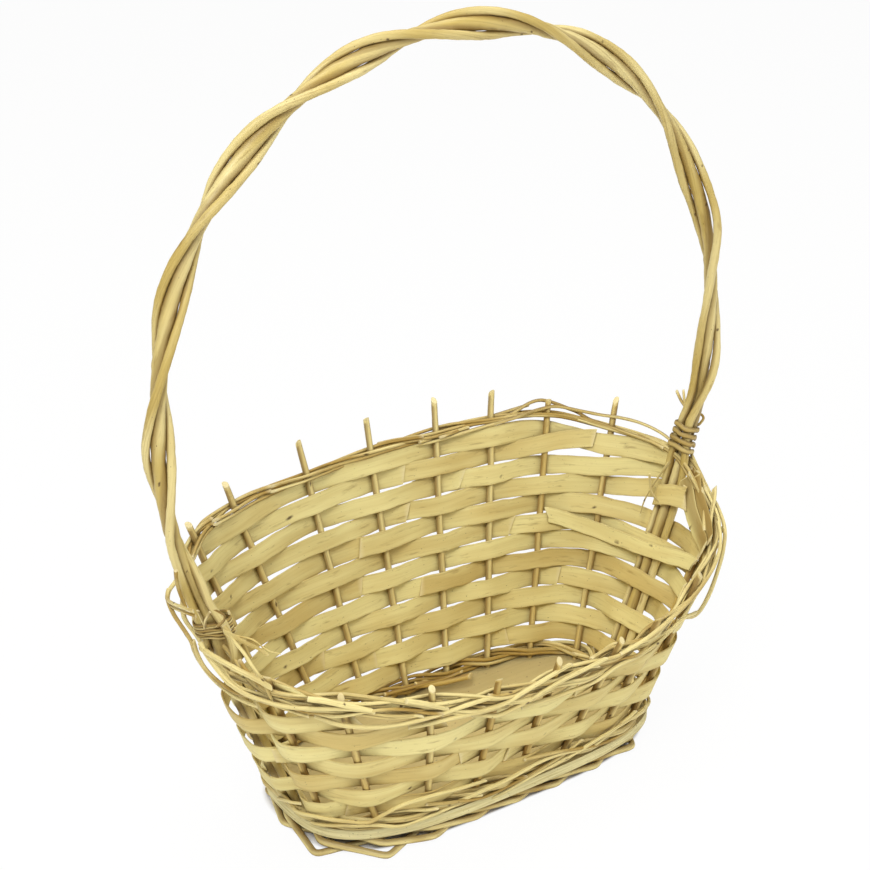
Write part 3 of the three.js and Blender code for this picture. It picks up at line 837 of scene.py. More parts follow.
@dataclass
class ChipWeave:
    """The flat split-willow chips, woven in and out of the uprights."""

    shop: Workshop
    thickness: float = 0.9
    gap: float = 0.12
    camber: float = 0.25
    kink: float = 0.95
    visible_width: float = 10.9
    # A chip spreads at each upright of the front, and stands out where it rounds either end of it.
    front_spread: float = 0.85
    left_bulge: float = 3.2
    right_bulge: float = 1.6
    rows: tuple[ChipRow, ...] = (
        ChipRow((3, 12)), ChipRow((6, 15)), ChipRow((7, 14)), ChipRow((2, 11)), ChipRow((4, 16)),
        ChipRow((6,), -2.25, 13.22), ChipRow((3,), -1.3, 12.14), ChipRow((5,), -1.2, 9.35),
        ChipRow((5,), 0.04, 9.35, 3.4, ((0.0, 1.0), (0.42, 0.5), (0.75, 0.15), (1.2, 0.0))),
        ChipRow((4,), 0.04, 9.2, 3.4, ((0.0, 0.95), (0.42, 0.6), (0.75, 0.25), (1.2, 0.0))),
        ChipRow((5,), 1.22, 8.5, -3.7, ((1.2, 0.55), (2.6, 0.0))),
        ChipRow((), 0.1, 7.9, -2.8, ((0.1, -0.4), (0.5, -0.62), (1.2, -0.78), (2.2, 0.0))),
    )
    loose: tuple[LooseChip, ...] = LOOSE_CHIPS

    def section(self) -> tuple[np.ndarray, np.ndarray]:
        """Draws the flat section of a chip with its rounded edges.

        Returns:
            The points in shares of its half sizes, and how much of an edge each point is.
        """
        flat = np.linspace(-0.95, 0.95, 7)
        top = np.stack([flat, np.ones(7)], axis=1)
        side = np.array([[1.0, 0.45], [1.0, -0.45]])
        points = np.concatenate([top, side, top[::-1] * [1, -1], -side], axis=0)
        return points, smoothstep(0.8, 1.0, np.abs(points[:, 0]))

    def chip_skin(self, name: str, u: np.ndarray, rows: np.ndarray, out: np.ndarray, width: float,
                  slants: tuple[float, float], seed: int, tone: float | None = None) -> Skin:
        """Lays a flat chip along a path on the wall.

        Args:
            name: name of the piece.
            u: places on the ring.
            rows: its middle, in chip rows.
            out: its middle, in mm out of the wall.
            width: width across the grain.
            slants: how far each end's cut leans, in uprights.
            seed: makes the chip its own.
            tone: how tan it is, drawn by chance if not given.

        Returns:
            The chip as a skin.
        """
        wall = self.shop.wall
        points, edge = self.section()
        at_front = smoothstep(10.2, 11.2, u) * smoothstep(19.8, 19.0, u)
        half = width / 2 + self.front_spread * at_front * np.cos(math.pi * u) ** 2
        upper, lower = (0.45 * wander(u, seed + k, 1.0, 2.5, 0.3) for k in (2, 3))
        twist = wander(u, seed + 4, 0.35, 3.0, 0.9)
        cup = self.camber * wander(u, seed + 5, 1.3, 6.0, 2.0)
        lean = np.zeros(len(u))
        lean[0], lean[-1] = slants
        rings = []
        for across, face in points:
            t = wall.rows(rows) + across * (half + np.where(across > 0, upper, lower))
            at, _, _, away = wall.frame(u + lean * across, t)
            depth = out + twist * across + cup * (1 - across * across) + face * self.thickness / 2
            rings.append(at + away * depth[:, None])
        draw = np.random.default_rng(seed)
        tan = draw.uniform(0.15, 0.8) if tone is None else tone
        tone = tan + wander(u, seed + 6, 0.14, 4.0, 0.8)
        section = points * np.array([width / 2, self.thickness / 2])
        knots = self.knots(seed, u, section[:, 0])
        # The long edges of the chip get painted shade, as if shade fell between the rows.
        return Skin(name, np.stack(rings, axis=1), section, edge * 0.55, tone, knots)

    def knots(self, seed: int, u: np.ndarray, across: np.ndarray) -> np.ndarray:
        """Marks the small dark knots of a chip.

        Args:
            seed: makes the places this chip's own.
            u: place of each ring.
            across: mm across the chip of each section point.

        Returns:
            The share of knot at each point of each ring.
        """
        draw = np.random.default_rng(seed + 8)
        marks = np.zeros((len(u), len(across)))
        for _ in range(int(draw.integers(0, 3))):
            place, side = draw.uniform(np.min(u) + 0.3, np.max(u) - 0.3), draw.uniform(-3.6, 3.6)
            along = (u[:, None] - place) * 40 / draw.uniform(1.4, 2.4)
            marks = np.maximum(marks, np.exp(-along ** 2 - ((across[None] - side) / 1.1) ** 2))
        return marks * 0.8

    def woven_chip(self, number: int, part: int, start: float, end: float, joint: int | None) -> Skin:
        """Lays one chip of a row in and out of the uprights.

        Args:
            number: row counted from 1 at the bottom.
            part: chip of the row, from 1.
            start: where it starts.
            end: where it ends.
            joint: upright where its end lies over the next chip.

        Returns:
            The chip as a skin.
        """
        wall = self.shop.wall
        seed = 1000 + number * 50 + part * 9
        u = np.linspace(start, end, int((end - start) * 14) + 2)
        sign = 1.0 if number % 2 == 0 else -1.0
        reach = wall.hug(u) + self.gap + self.thickness / 2
        out = sign * wall.sway(wall.phase(u), self.kink) * reach
        bulge = self.left_bulge * swell(u, 10.2, 0.8) + self.right_bulge * swell(u, 18.8, 0.9)
        out = out + bulge * smoothstep(0.0, 2.0, out)
        if joint is not None:
            side = sign * math.cos(math.pi * joint)
            out = out + side * smoothstep(joint - 0.85, joint - 0.5, u) * (self.thickness + 0.15)
        row = self.rows[number - 1]
        rows = number - 0.5 + wander(u, seed, 0.04, 6.0, 1.0)
        rows = rows + relax(np.interp(u, *zip(*row.bend)), 8)
        if part == 1 and row.start_out is not None:
            out = out + (row.start_out - out) * smoothstep(start + 0.8, start, u)
        out = relax(out, 1)
        draw = np.random.default_rng(seed + 1)
        slants = draw.uniform(-0.07, 0.07), draw.uniform(-0.13, -0.03)
        width = self.visible_width + draw.uniform(-0.4, 0.35) + (1.2 if number == len(self.rows) else 0.0)
        return self.chip_skin(f"chip_row_{number}_chip_{part}", u, rows, out, width, slants, seed)

    def build(self) -> None:
        """Builds and dresses every chip."""
        wall = self.shop.wall
        for number, row in enumerate(self.rows, start=1):
            for part, (start, end, joint) in enumerate(row.chips(wall.count), start=1):
                skin = self.woven_chip(number, part, start, end, joint)
                self.shop.lay(skin, 100 + number * 10 + part, Finish.CHIP, f"chip_row_{number}")
        for number, chip in enumerate(self.loose):
            u, rows, out = spline(np.reshape(chip.path, (-1, 3)), 10).T
            skin = self.chip_skin(chip.name, u, rows, out, chip.width, chip.slants, 1900 + number * 20,
                                  chip.tone)
            self.shop.lay(skin, 1900 + number, Finish.CHIP)


@dataclass
class Stakes:
    """The round willow stakes, with oblique cuts above the rim."""

    shop: Workshop
    sides: int = 12

    def build(self) -> None:
        """Builds and dresses every stake."""
        wall = self.shop.wall
        for place, upright in enumerate(UPRIGHTS):
            if not upright.tip:
                continue
            top = float(wall.rows(upright.tip))
            t = np.linspace(wall.upright_foot, top, 60)
            points = wall.point(np.full(len(t), float(place)), t)
            _, along, _, out = (axis[0] for axis in wall.frame(place, 0.0))
            free = smoothstep(float(wall.rows(upright.rim)) - 8, top, t)
            bow = wander(t, 500 + place, 0.35, 90, 30)
            # At the back the tips stand nearly straight, and elsewhere each leans its own way.
            aside = -0.1 if place < 9 else 0.7 * math.sin(place * 1.7)
            points = points + along * (bow + free * aside)[:, None]
            radius = wall.stake_radius * (1.02 - 0.1 * free)
            guide = np.broadcast_to(out, points.shape)
            cut = 1.5 * math.copysign(1.0 + 0.4 * math.sin(place * 2.3), math.sin(place * 1.9 + 0.4))
            # The sides that face along the ring, where the chips pass, get painted shade.
            skin = rod_skin(f"{upright.name}_rod", points, guide, radius, 40 + place, self.sides, cut=cut,
                            knot_spacing=45, inner=(math.pi / 2, -math.pi / 2))
            self.shop.lay(skin, 200 + place, Finish.STAKE, upright.name)


@dataclass(frozen=True)
class Twine:
    """How a group of rods twines round the uprights."""

    node: str
    strands: int
    radius: float
    spread: float
    start: float
    end: float
    tightness: float = 0.0
    lift: float = 0.0
    level: float | None = None
    tail: float = 2.5
    reach_of_rod: float = 7.0


@dataclass
class Wales:
    """The rods twined round the uprights: base wale, rim wale and the upper border of the front.

    Each strand is a pair of thin rods side by side. A rod reaches past about seven uprights, and its cut
    end turns out of the weave where the next one starts.
    """

    shop: Workshop
    gap: float = 0.1
    pair: int = 2

    def groups(self) -> tuple[Twine, ...]:
        """Lists every group of twined rods.

        Returns:
            The base wale, the rim wale and the front border.
        """
        # Over the rim wale, as in the solids: spread and radius of its rods and of the border's, and a gap.
        border_lift = (1.876 + 1.45) + (1.775 + 1.6) + self.shop.wall.clearance
        return (
            Twine("base_wale_rod", 3, 1.1, 2.4, 5.5, 25.5, tightness=0.45, level=self.shop.wall.base_level),
            Twine("rim_wale_rod", 3, 0.95, 1.6, 6.5, 26.5),
            Twine("front_border_rod", 2, 0.95, 1.0, 10.45, 19.45, lift=border_lift - 1.5, tail=2.0,
                  reach_of_rod=5.0),
        )

    def carrier(self, twine: Twine, u: np.ndarray) -> tuple[np.ndarray, np.ndarray, np.ndarray]:
        """Returns the middle line of a group and its directions out of and over the line.

        Args:
            twine: the group.
            u: places on the ring.

        Returns:
            Points, directions out and directions over.
        """
        wall = self.shop.wall
        if twine.level is not None:
            _, _, up, out = wall.frame(u, 0.0)
            flat = out * np.array([1.0, 1.0, 0.0])
            flat = flat / np.sum(flat * flat, axis=1, keepdims=True)
            return wall.point(u, twine.level / up[:, 2]), flat, up / up[:, 2:]
        _, _, _, out = wall.frame(u, wall.rim(u))
        step = 0.02
        along = unit(wall.point(u + step, wall.rim(u + step)) - wall.point(u - step, wall.rim(u - step)))
        over = unit(np.cross(out, along))
        return wall.point(u, wall.rim(u)) + over * twine.lift, out, over

    def rod(self, twine: Twine, number: int, side: int, start: float, end: float, seed: int) -> Skin:
        """Lays one thin rod of a strand.

        Args:
            twine: the group.
            number: the strand, from 0.
            side: 0 or 1, the rod of the pair.
            start: where it starts.
            end: where it ends.
            seed: makes the rod its own.

        Returns:
            The rod as a skin.
        """
        wall = self.shop.wall
        u = np.linspace(start, end, int((end - start) * 13) + 2)
        point, out, over = self.carrier(twine, u)
        phase = (wall.phase(u) - number) * 2 / twine.strands
        swing_out = wall.sway(phase, 0.97)
        reach = wall.hug(u) + twine.radius + self.gap
        # Three strands pass outside two uprights and inside the third. Two strands change sides at each.
        swing, centre = (reach * 4 / 3, reach / 3) if twine.strands == 3 else (reach, 0.0)
        free = centre - swing * swing_out
        pulled = np.where(free > reach, reach + (free - reach) * (1 - twine.tightness), free)
        loose = smoothstep(3.0, 4.4, np.mod(u, wall.count)) if twine.level is None and not twine.lift else 1.0
        stray = (0.35 + 0.65 * loose) * wander(u, seed, 0.85, 4.0, 1.4)
        beside = (side - (self.pair - 1) / 2) * 2 * twine.radius * np.cos(wander(u, seed + 1, 0.8, 6.0, 2.0))
        tail = smoothstep(end - 0.6, end, u) * twine.tail * np.sign(pulled[-1] + 0.01)
        head = 1 - smoothstep(start, start + 0.7, u)
        away = pulled + tail - head * 1.2 * twine.radius + 0.25 * stray
        points = point + out * away[:, None]
        spread = twine.spread * (0.4 + 0.6 * loose)
        rise = spread * wall.sway(phase - 0.5, 0.8) + beside * (0.6 + 0.4 * loose) + stray
        points = points + over * rise[:, None]
        points = relax(points, 2)
        share = (u - start) / (end - start)
        radius = twine.radius * (1.12 - 0.22 * share + wander(u, seed + 2, 0.06, 3.0, 0.6))
        back = smoothstep(0.2, 1.0, np.sin(np.mod(u, wall.count) / wall.count * 2 * math.pi))
        tan = 0.55 if twine.level is not None else 0.3
        tone = 0.35 + back * tan + wander(u, seed + 3, 0.45, 6.0, 1.2)
        name = f"{twine.node}_{number + 1}_{'lower' if side == 0 else 'upper'}_{int(start * 10)}"
        # The underside gets painted shade.
        return rod_skin(name, points, out, radius, seed, 10, cut=1.6, knot_spacing=60, tone=tone,
                        inner=(math.pi / 2,))

    def build(self) -> None:
        """Builds and dresses every rod."""
        count = self.shop.wall.count
        for twine in self.groups():
            closed = twine.end - twine.start >= count
            for number in range(twine.strands):
                first = twine.start + (number if closed else 0)
                last = twine.start + (number + 1) % twine.strands + count if closed else twine.end
                for side in range(self.pair):
                    seed = 3000 + 400 * len(twine.node) + 100 * number + 40 * side
                    draw = np.random.default_rng(seed)
                    place = first
                    while place < last:
                        stop = place + twine.reach_of_rod * draw.uniform(0.75, 1.15)
                        stop = last if last - stop < 2.5 else stop
                        head = 0.55 if place > first else 0.0
                        skin = self.rod(twine, number, side, place - head, stop, seed)
                        self.shop.lay(skin, seed, Finish.WALE, f"{twine.node}_{number + 1}")
                        place = stop
                        seed += 5


@dataclass
class FootBorder:
    """The border under the board: each rod leaves one upright, passes outside the next two and tucks in.

    It runs in nearly straight lines from upright to upright, first close under the board, then lower and
    farther out over the next rod. Its end lies on under the board.
    """

    shop: Workshop
    radius: float = 1.85
    corner_bulge: float = 9.3
    right_bulge: float = 3.0
    side_bulge: float = -0.7

    def corner(self, place: int, step: int) -> np.ndarray:
        """Returns where a rod passes an upright.

        Args:
            place: the upright that the rod leaves.
            step: uprights from there.

        Returns:
            A point on the wall's axes.
        """
        wall = self.shop.wall
        upright = place + step
        place = upright % wall.count
        corner = float(swell(place, 11.3, 1.15 if place < 11.3 else 1.5))
        right = float(swell(place, 18.2, 0.9))
        bulge = self.side_bulge + self.corner_bulge * corner + self.right_bulge * right
        # At each step: up against the board, still high, down under the next rod, low, and on inwards.
        high = -wall.board_half - 0.1 - self.radius
        low = wall.foot_lowest + self.radius + (0.0 if upright % 4 == 0 else 1.0 - corner)
        level = (high, high, low, low, (low + high) / 2)[step]
        beside = float(wall.hug(np.array([upright]))[0]) + self.radius
        outer = beside + 1.7 * self.radius + bulge
        reach = (-beside, beside + bulge * 0.5, outer, -beside, -beside - 1.5)[step]
        _, _, up, out = (axis[0] for axis in wall.frame(upright, 0.0))
        flat = unit(out * np.array([1.0, 1.0, 0.0]))
        return wall.point(upright, level / up[2])[0] + flat * reach

    def build(self) -> None:
        """Builds and dresses one rod for each upright."""
        wall = self.shop.wall
        for place in range(wall.count):
            stops = np.array([self.corner(place, step) for step in range(5)])
            # The cut end lies just short of the last stop.
            share = np.linspace(0, 3.9, 79)
            points = np.stack([np.interp(share, np.arange(5), stops[:, axis]) for axis in range(3)], axis=1)
            points = relax(points, 4)
            points[:, 2] += wander(share, 4000 + place, 0.3, 2.0, 0.5) * 0.5
            radius = self.radius * (1.08 - 0.06 * share)
            guide = np.broadcast_to(np.array([0.0, 0.0, 1.0]), points.shape)
            node = f"foot_rod_{place % 2 + 1}"
            tone = 0.3 + wander(share, 4300 + place, 0.4, 3.0, 0.6)
            # Its top, under the board, and its bottom get painted shade.
            skin = rod_skin(f"{node}_from_upright_{place}", points, guide, radius, 4000 + place * 5, cut=1.5,
                            lowest=wall.foot_lowest, knot_spacing=50, tone=tone, inner=(0.0, math.pi))
            self.shop.lay(skin, 4000 + place, Finish.WALE, node)


@dataclass
class Handle:
    """The hoop: three long rods that lie on the wall, then twist over the arch, and their lappings."""

    shop: Workshop
    span: float = 335.0
    centre_height: float = 221.0
    rise: float = 167.5
    shift_x: float = 0.5
    square_left: float = 2.1
    square_right: float = 1.97
    half_twists: float = 8.0
    gather_left: float = 0.88
    gather_right: float = 0.33
    middle_radius: float = 3.5
    side_radius: float = 2.15
    side_offset: float = 5.6
    pinch: float = 1.1
    left_turn: float = -3.05
    # The lappings start over the rim wale, the end of the border and a gap.
    lapping_lift: float = 1.876 + 2.9 + 1.8 + 0.3
    lapping_gap: float = 3.0
    right_turns: float = 4.0
    right_pitch: float = 4.3
    left_turns: float = 3.0
    left_pitch: float = 3.2
    slit_place: float = 728.0
    slit_width: float = 2.2
    # Bends of the middle line along X: mm aside, mm past the top of the straight leg, and half length.
    left_bends: tuple[tuple[float, float, float], ...] = ((5.0, 4, 36), (1.2, 140, 40))
    right_bends: tuple[tuple[float, float, float], ...] = ((-2.5, 8, 17), (0.7, -75, 30), (-1.0, -155, 35))

    def __post_init__(self) -> None:
        """Works out the middle line and where its straight legs end."""
        wall = self.shop.wall
        self.right_top = float(wall.rows(UPRIGHTS[0].rim)) + self.lapping_lift
        self.left_top = float(wall.rows(UPRIGHTS[wall.count // 2].rim)) + self.lapping_lift
        points = self.leg(wall.count / 2, self.left_top, math.pi)
        points += [self.arch(math.pi * (1 - i / 14)) for i in range(15)]
        points += self.leg(0.0, self.right_top, 0.0)[::-1]
        self.line = spline(np.array(points), 24)
        self.run = run_of(self.line)
        self.length = float(self.run[-1])
        self.left_straight = self.left_top + self.left_turns * self.left_pitch - wall.upright_foot
        self.right_straight = self.right_top + self.right_turns * self.right_pitch - wall.upright_foot

    def arch(self, angle: float) -> np.ndarray:
        """Finds a point of the arch over the two legs.

        Args:
            angle: 0 at the right end, pi at the left.

        Returns:
            The point, on the wall's axes.
        """
        c = math.cos(angle)
        power = 2.0 / (self.square_left if c < 0 else self.square_right)
        x = self.shift_x + self.span / 2 * math.copysign(abs(c) ** power, c)
        return np.array([x, 0.0, self.centre_height + self.rise * max(math.sin(angle), 0.0) ** power])

    def leg(self, spot: float, top: float, arch_end: float) -> list[np.ndarray]:
        """Returns points of a straight leg and of its bend into the arch.

        Args:
            spot: place on the ring.
            top: distance up the wall where the bend starts.
            arch_end: angle of the arch where it ends.

        Returns:
            The points from the foot up.
        """
        wall = self.shop.wall
        heights = [wall.upright_foot + (top - wall.upright_foot) * share for share in (0, 0.4, 0.8, 0.95, 1)]
        points = [wall.point(spot, t)[0] for t in heights]
        start, end = points[-1], self.arch(arch_end)
        reach = float(np.linalg.norm(end - start)) / 3
        one, two = start + wall.line(spot)[1][0] * reach, end - np.array([0, 0, reach])
        for i in range(1, 6):
            s = i / 6
            points.append((1 - s) ** 3 * start + 3 * (1 - s) ** 2 * s * one
                          + 3 * (1 - s) * s * s * two + s ** 3 * end)
        return points

    def frames(self, distance: np.ndarray) -> tuple[np.ndarray, np.ndarray, np.ndarray, np.ndarray]:
        """Finds the bundle's middle and axes along the handle.

        Args:
            distance: distances along the handle, in mm.

        Returns:
            Places, directions on, sideways in the row of three rods, and out of that row.
        """
        wall = self.shop.wall
        place, ahead, behind = (
            np.stack([np.interp(distance + step, self.run, self.line[:, k]) for k in range(3)], axis=1)
            for step in (0.0, 0.8, -0.8))
        bound_left = distance - self.left_straight
        bound_right = distance - self.length + self.right_straight
        sag = sum(size * swell(bound, middle, width)
                  for bound, bends in ((bound_left, self.left_bends), (bound_right, self.right_bends))
                  for size, middle, width in bends)
        place = place + sag[:, None] * np.array([1.0, 0.0, 0.0])
        along = unit(ahead - behind)
        back = unit(np.array([0.0, 1.0, 0.0]) - along * along[:, 1:2])
        out = unit(np.cross(along, back))

        def leg_turn(spot: float, up: np.ndarray) -> np.ndarray:
            """Returns how far the bundle is turned to lie flat on the wall."""
            beside = wall.frame(np.full(len(up), spot), wall.upright_foot + up)[1]
            return np.arctan(np.sum(beside * out, axis=1) / np.sum(beside * back, axis=1))

        free = self.length - self.left_straight - self.right_straight
        even = np.clip((distance - self.left_straight) / free, 0, 1)
        gather = self.gather_left + (self.gather_right - self.gather_left) * even
        eased = even + (smoothstep(0, 1, even) - even) * gather
        left = leg_turn(wall.count / 2, np.minimum(distance, self.left_straight))
        right = leg_turn(0.0, np.minimum(self.length - distance, self.right_straight))
        crossing = smoothstep(0.2, 0.8, distance / self.length)
        turn = left + (right - left) * crossing + self.half_twists * math.pi * eased
        rim = self.left_top - wall.upright_foot - self.lapping_lift
        fade = 0.6 * smoothstep(self.left_straight, self.left_straight + 150, distance)
        turn = turn + self.left_turn * (1 - fade - 0.4 * smoothstep(rim - 12, self.left_straight, distance))
        side = back * np.cos(turn)[:, None] + out * np.sin(turn)[:, None]
        return place, along, side, np.cross(side, along)

    def beside(self, distance: np.ndarray, way: int) -> tuple[np.ndarray, np.ndarray]:
        """Returns how far a side rod lies beside the middle one and before its face.

        The rods splay where the left lapping binds them, one of them passes over that lapping, and they
        are drawn together at the right one.

        Args:
            distance: distances along the handle.
            way: -1 for the front rod, 1 for the back rod.

        Returns:
            The two distances in mm.
        """
        # How far past the top of the left leg, in mm.
        bound = distance - self.left_straight
        if way > 0:
            beside = self.side_offset - 2.9 * smoothstep(-4, 16, bound) * smoothstep(75, 45, bound)
            beside = beside + 6.0 * swell(bound, -18, 9.5)
            over = 5.2 * smoothstep(-27, -13, bound) * smoothstep(50, 16, bound)
        else:
            lean = 0.5 * smoothstep(-22, -10, bound) * smoothstep(58, 28, bound)
            beside, over = self.side_offset * np.cos(lean), self.side_offset * np.sin(lean)
        turn = self.pinch * swell(distance - self.length + self.right_straight, -2, 32)
        return beside * np.cos(turn), self.side_offset * np.sin(turn) + over

    def girth(self, distance: np.ndarray, angle: np.ndarray, tight: bool) -> np.ndarray:
        """Returns how far the skin of a lapping lies from the middle line, round the three rods.

        Args:
            distance: distances along the handle.
            angle: angles from the side direction to the face, one for each distance.
            tight: whether the back rod lies inside the lapping as bent there, or straight.

        Returns:
            The distance from the middle line in mm.
        """
        front, back = self.beside(distance, -1), self.beside(distance, 1)
        none = np.zeros(len(distance))
        if not tight:
            back = none + self.side_offset + 1, none
        rods = ((-front[0], front[1], self.side_radius),
                (none, none - 0.25 * front[1] * tight, self.middle_radius), (*back, self.side_radius))
        way = np.arange(96) / 96 * 2 * math.pi
        c, s = np.cos(way), np.sin(way)
        support = np.max([x[:, None] * c + y[:, None] * s + radius for x, y, radius in rods], axis=0)
        facing = np.cos(angle[:, None] - way)
        return np.min(np.where(facing > 0.05, support / np.maximum(facing, 0.05), 99.0), axis=1)

    def build(self) -> None:
        """Builds and dresses the three rods and the two lappings."""
        distance = np.linspace(0, self.length, 760)
        place, _, side, face = self.frames(distance)
        # For each rod its side of the middle one, and its shares of the wander aside, the twist and the lift.
        rods = (("front", -1, self.side_radius, 0.5, 1.0, 0.9),
                ("middle", 0, self.middle_radius, 0.2, -0.25, 0.2),
                ("back", 1, self.side_radius, 0.5, 1.0, 0.9))
        in_hoop = smoothstep(self.left_straight, self.left_straight + 60, distance)
        in_hoop = in_hoop * smoothstep(self.right_straight, self.right_straight + 60, self.length - distance)
        for number, (name, way, size, of_aside, of_twist, of_lift) in enumerate(rods):
            seed = 700 + number
            beside, before = self.beside(distance, way)
            aside = wander(distance, seed + 50, 0.3, 170, 50) * in_hoop
            lift = wander(distance, seed + 60, 0.6, 150, 45) * in_hoop
            slit = self.slit_width * swell(distance, self.slit_place, 20) if name == "back" else 0.0
            spread = way * (beside + slit) + aside * of_aside
            points = place + side * spread[:, None]
            points = points + face * (before * of_twist + lift * of_lift)[:, None]
            thick = wander(distance, seed, 0.07, 120, 14)
            taper = 1.0 + 0.05 * np.cos(distance / self.length * math.pi) * (1 if number % 2 else -1)
            tone = 0.45 + wander(distance, seed + 70, 0.5, 260, 40)
            # The sides that face the other rods get painted shade.
            inner = (math.pi / 2, -math.pi / 2) if name == "middle" else (-way * math.pi / 2,)
            skin = rod_skin(f"handle_rod_{name}_rod", points, face, size * (taper + thick), seed, 18,
                            unround=0.06, knot_spacing=55, tone=tone, inner=inner)
            self.shop.lay(skin, seed, Finish.HANDLE, f"handle_rod_{name}")
        left_start = self.left_straight - self.left_turns * self.left_pitch + self.lapping_gap
        right_start = self.length - self.right_straight + self.lapping_gap
        self.lapping("left", left_start, self.left_turns, self.left_pitch)
        self.lapping("right", right_start, self.right_turns, self.right_pitch)

    def lapping(self, name: str, start: float, turns: float, pitch: float) -> None:
        """Winds one broad strip at the right leg, or two narrow ones at the left, round the three rods.

        Args:
            name: which end of the handle.
            start: distance along the handle where it starts.
            turns: how many turns it makes.
            pitch: mm from turn to turn.
        """
        turn = np.arange(int(turns * 44) + 1) / 44
        angle = turn * 2 * math.pi
        distance = start + turn * pitch
        place, along, side, face = self.frames(distance)
        c, s = np.cos(angle), np.sin(angle)
        right = name == "right"
        # Each strip's place in the pitch, and half its width in mm.
        strips = ((0.0, 1.5),) if right else ((-0.25, 0.75), (0.25, 0.8))
        thickness = 0.7
        reach = self.girth(distance, angle, right) + thickness + 0.05
        loose = 0.6 if right else 0.25
        for strip, (shift, broad) in enumerate(strips):
            away = relax(reach, 2) + loose * (1 + wander(angle, len(name) * 19 + strip, 1, 5, 0.9))
            points = place + side * (away * c)[:, None] + face * (away * s)[:, None]
            lay = shift * pitch + wander(angle, len(name) * 13 + strip, 0.5, 5.0, 0.9)
            lay = lay - (0.0 if right else 2.6) * c
            points = points + along * lay[:, None]
            outward = side * c[:, None] + face * s[:, None]
            breadth = broad * (1 + wander(angle, len(name) * 17 + strip, 0.12, 5.0, 0.7))
            guide = np.cross(unit(np.gradient(points, axis=0)), outward)
            # The strip's two edges get painted shade.
            skin = rod_skin(f"lapping_{name}_strip_{strip + 1}", points, guide, breadth,
                            800 + len(name) + strip, 10, flatness=thickness / broad, unround=0.02,
                            inner=(0.0, math.pi))
            self.shop.lay(skin, 820 + len(name) + strip, Finish.LAPPING, f"lapping_{name}")


@dataclass(frozen=True)
class LooseRod:
    """A rod end or twig that leaves the weave, its path as upright, chip rows and mm out of the wall in turn.

    A rod that is a length of a border or wale names its node.
    """

    name: str
    radius: float
    path: tuple[float, ...]
    finish: Finish = Finish.WALE
    taper: float = 0.15
    tone: float = 0.3
    node: str = ""
    flatness: float = 1.0


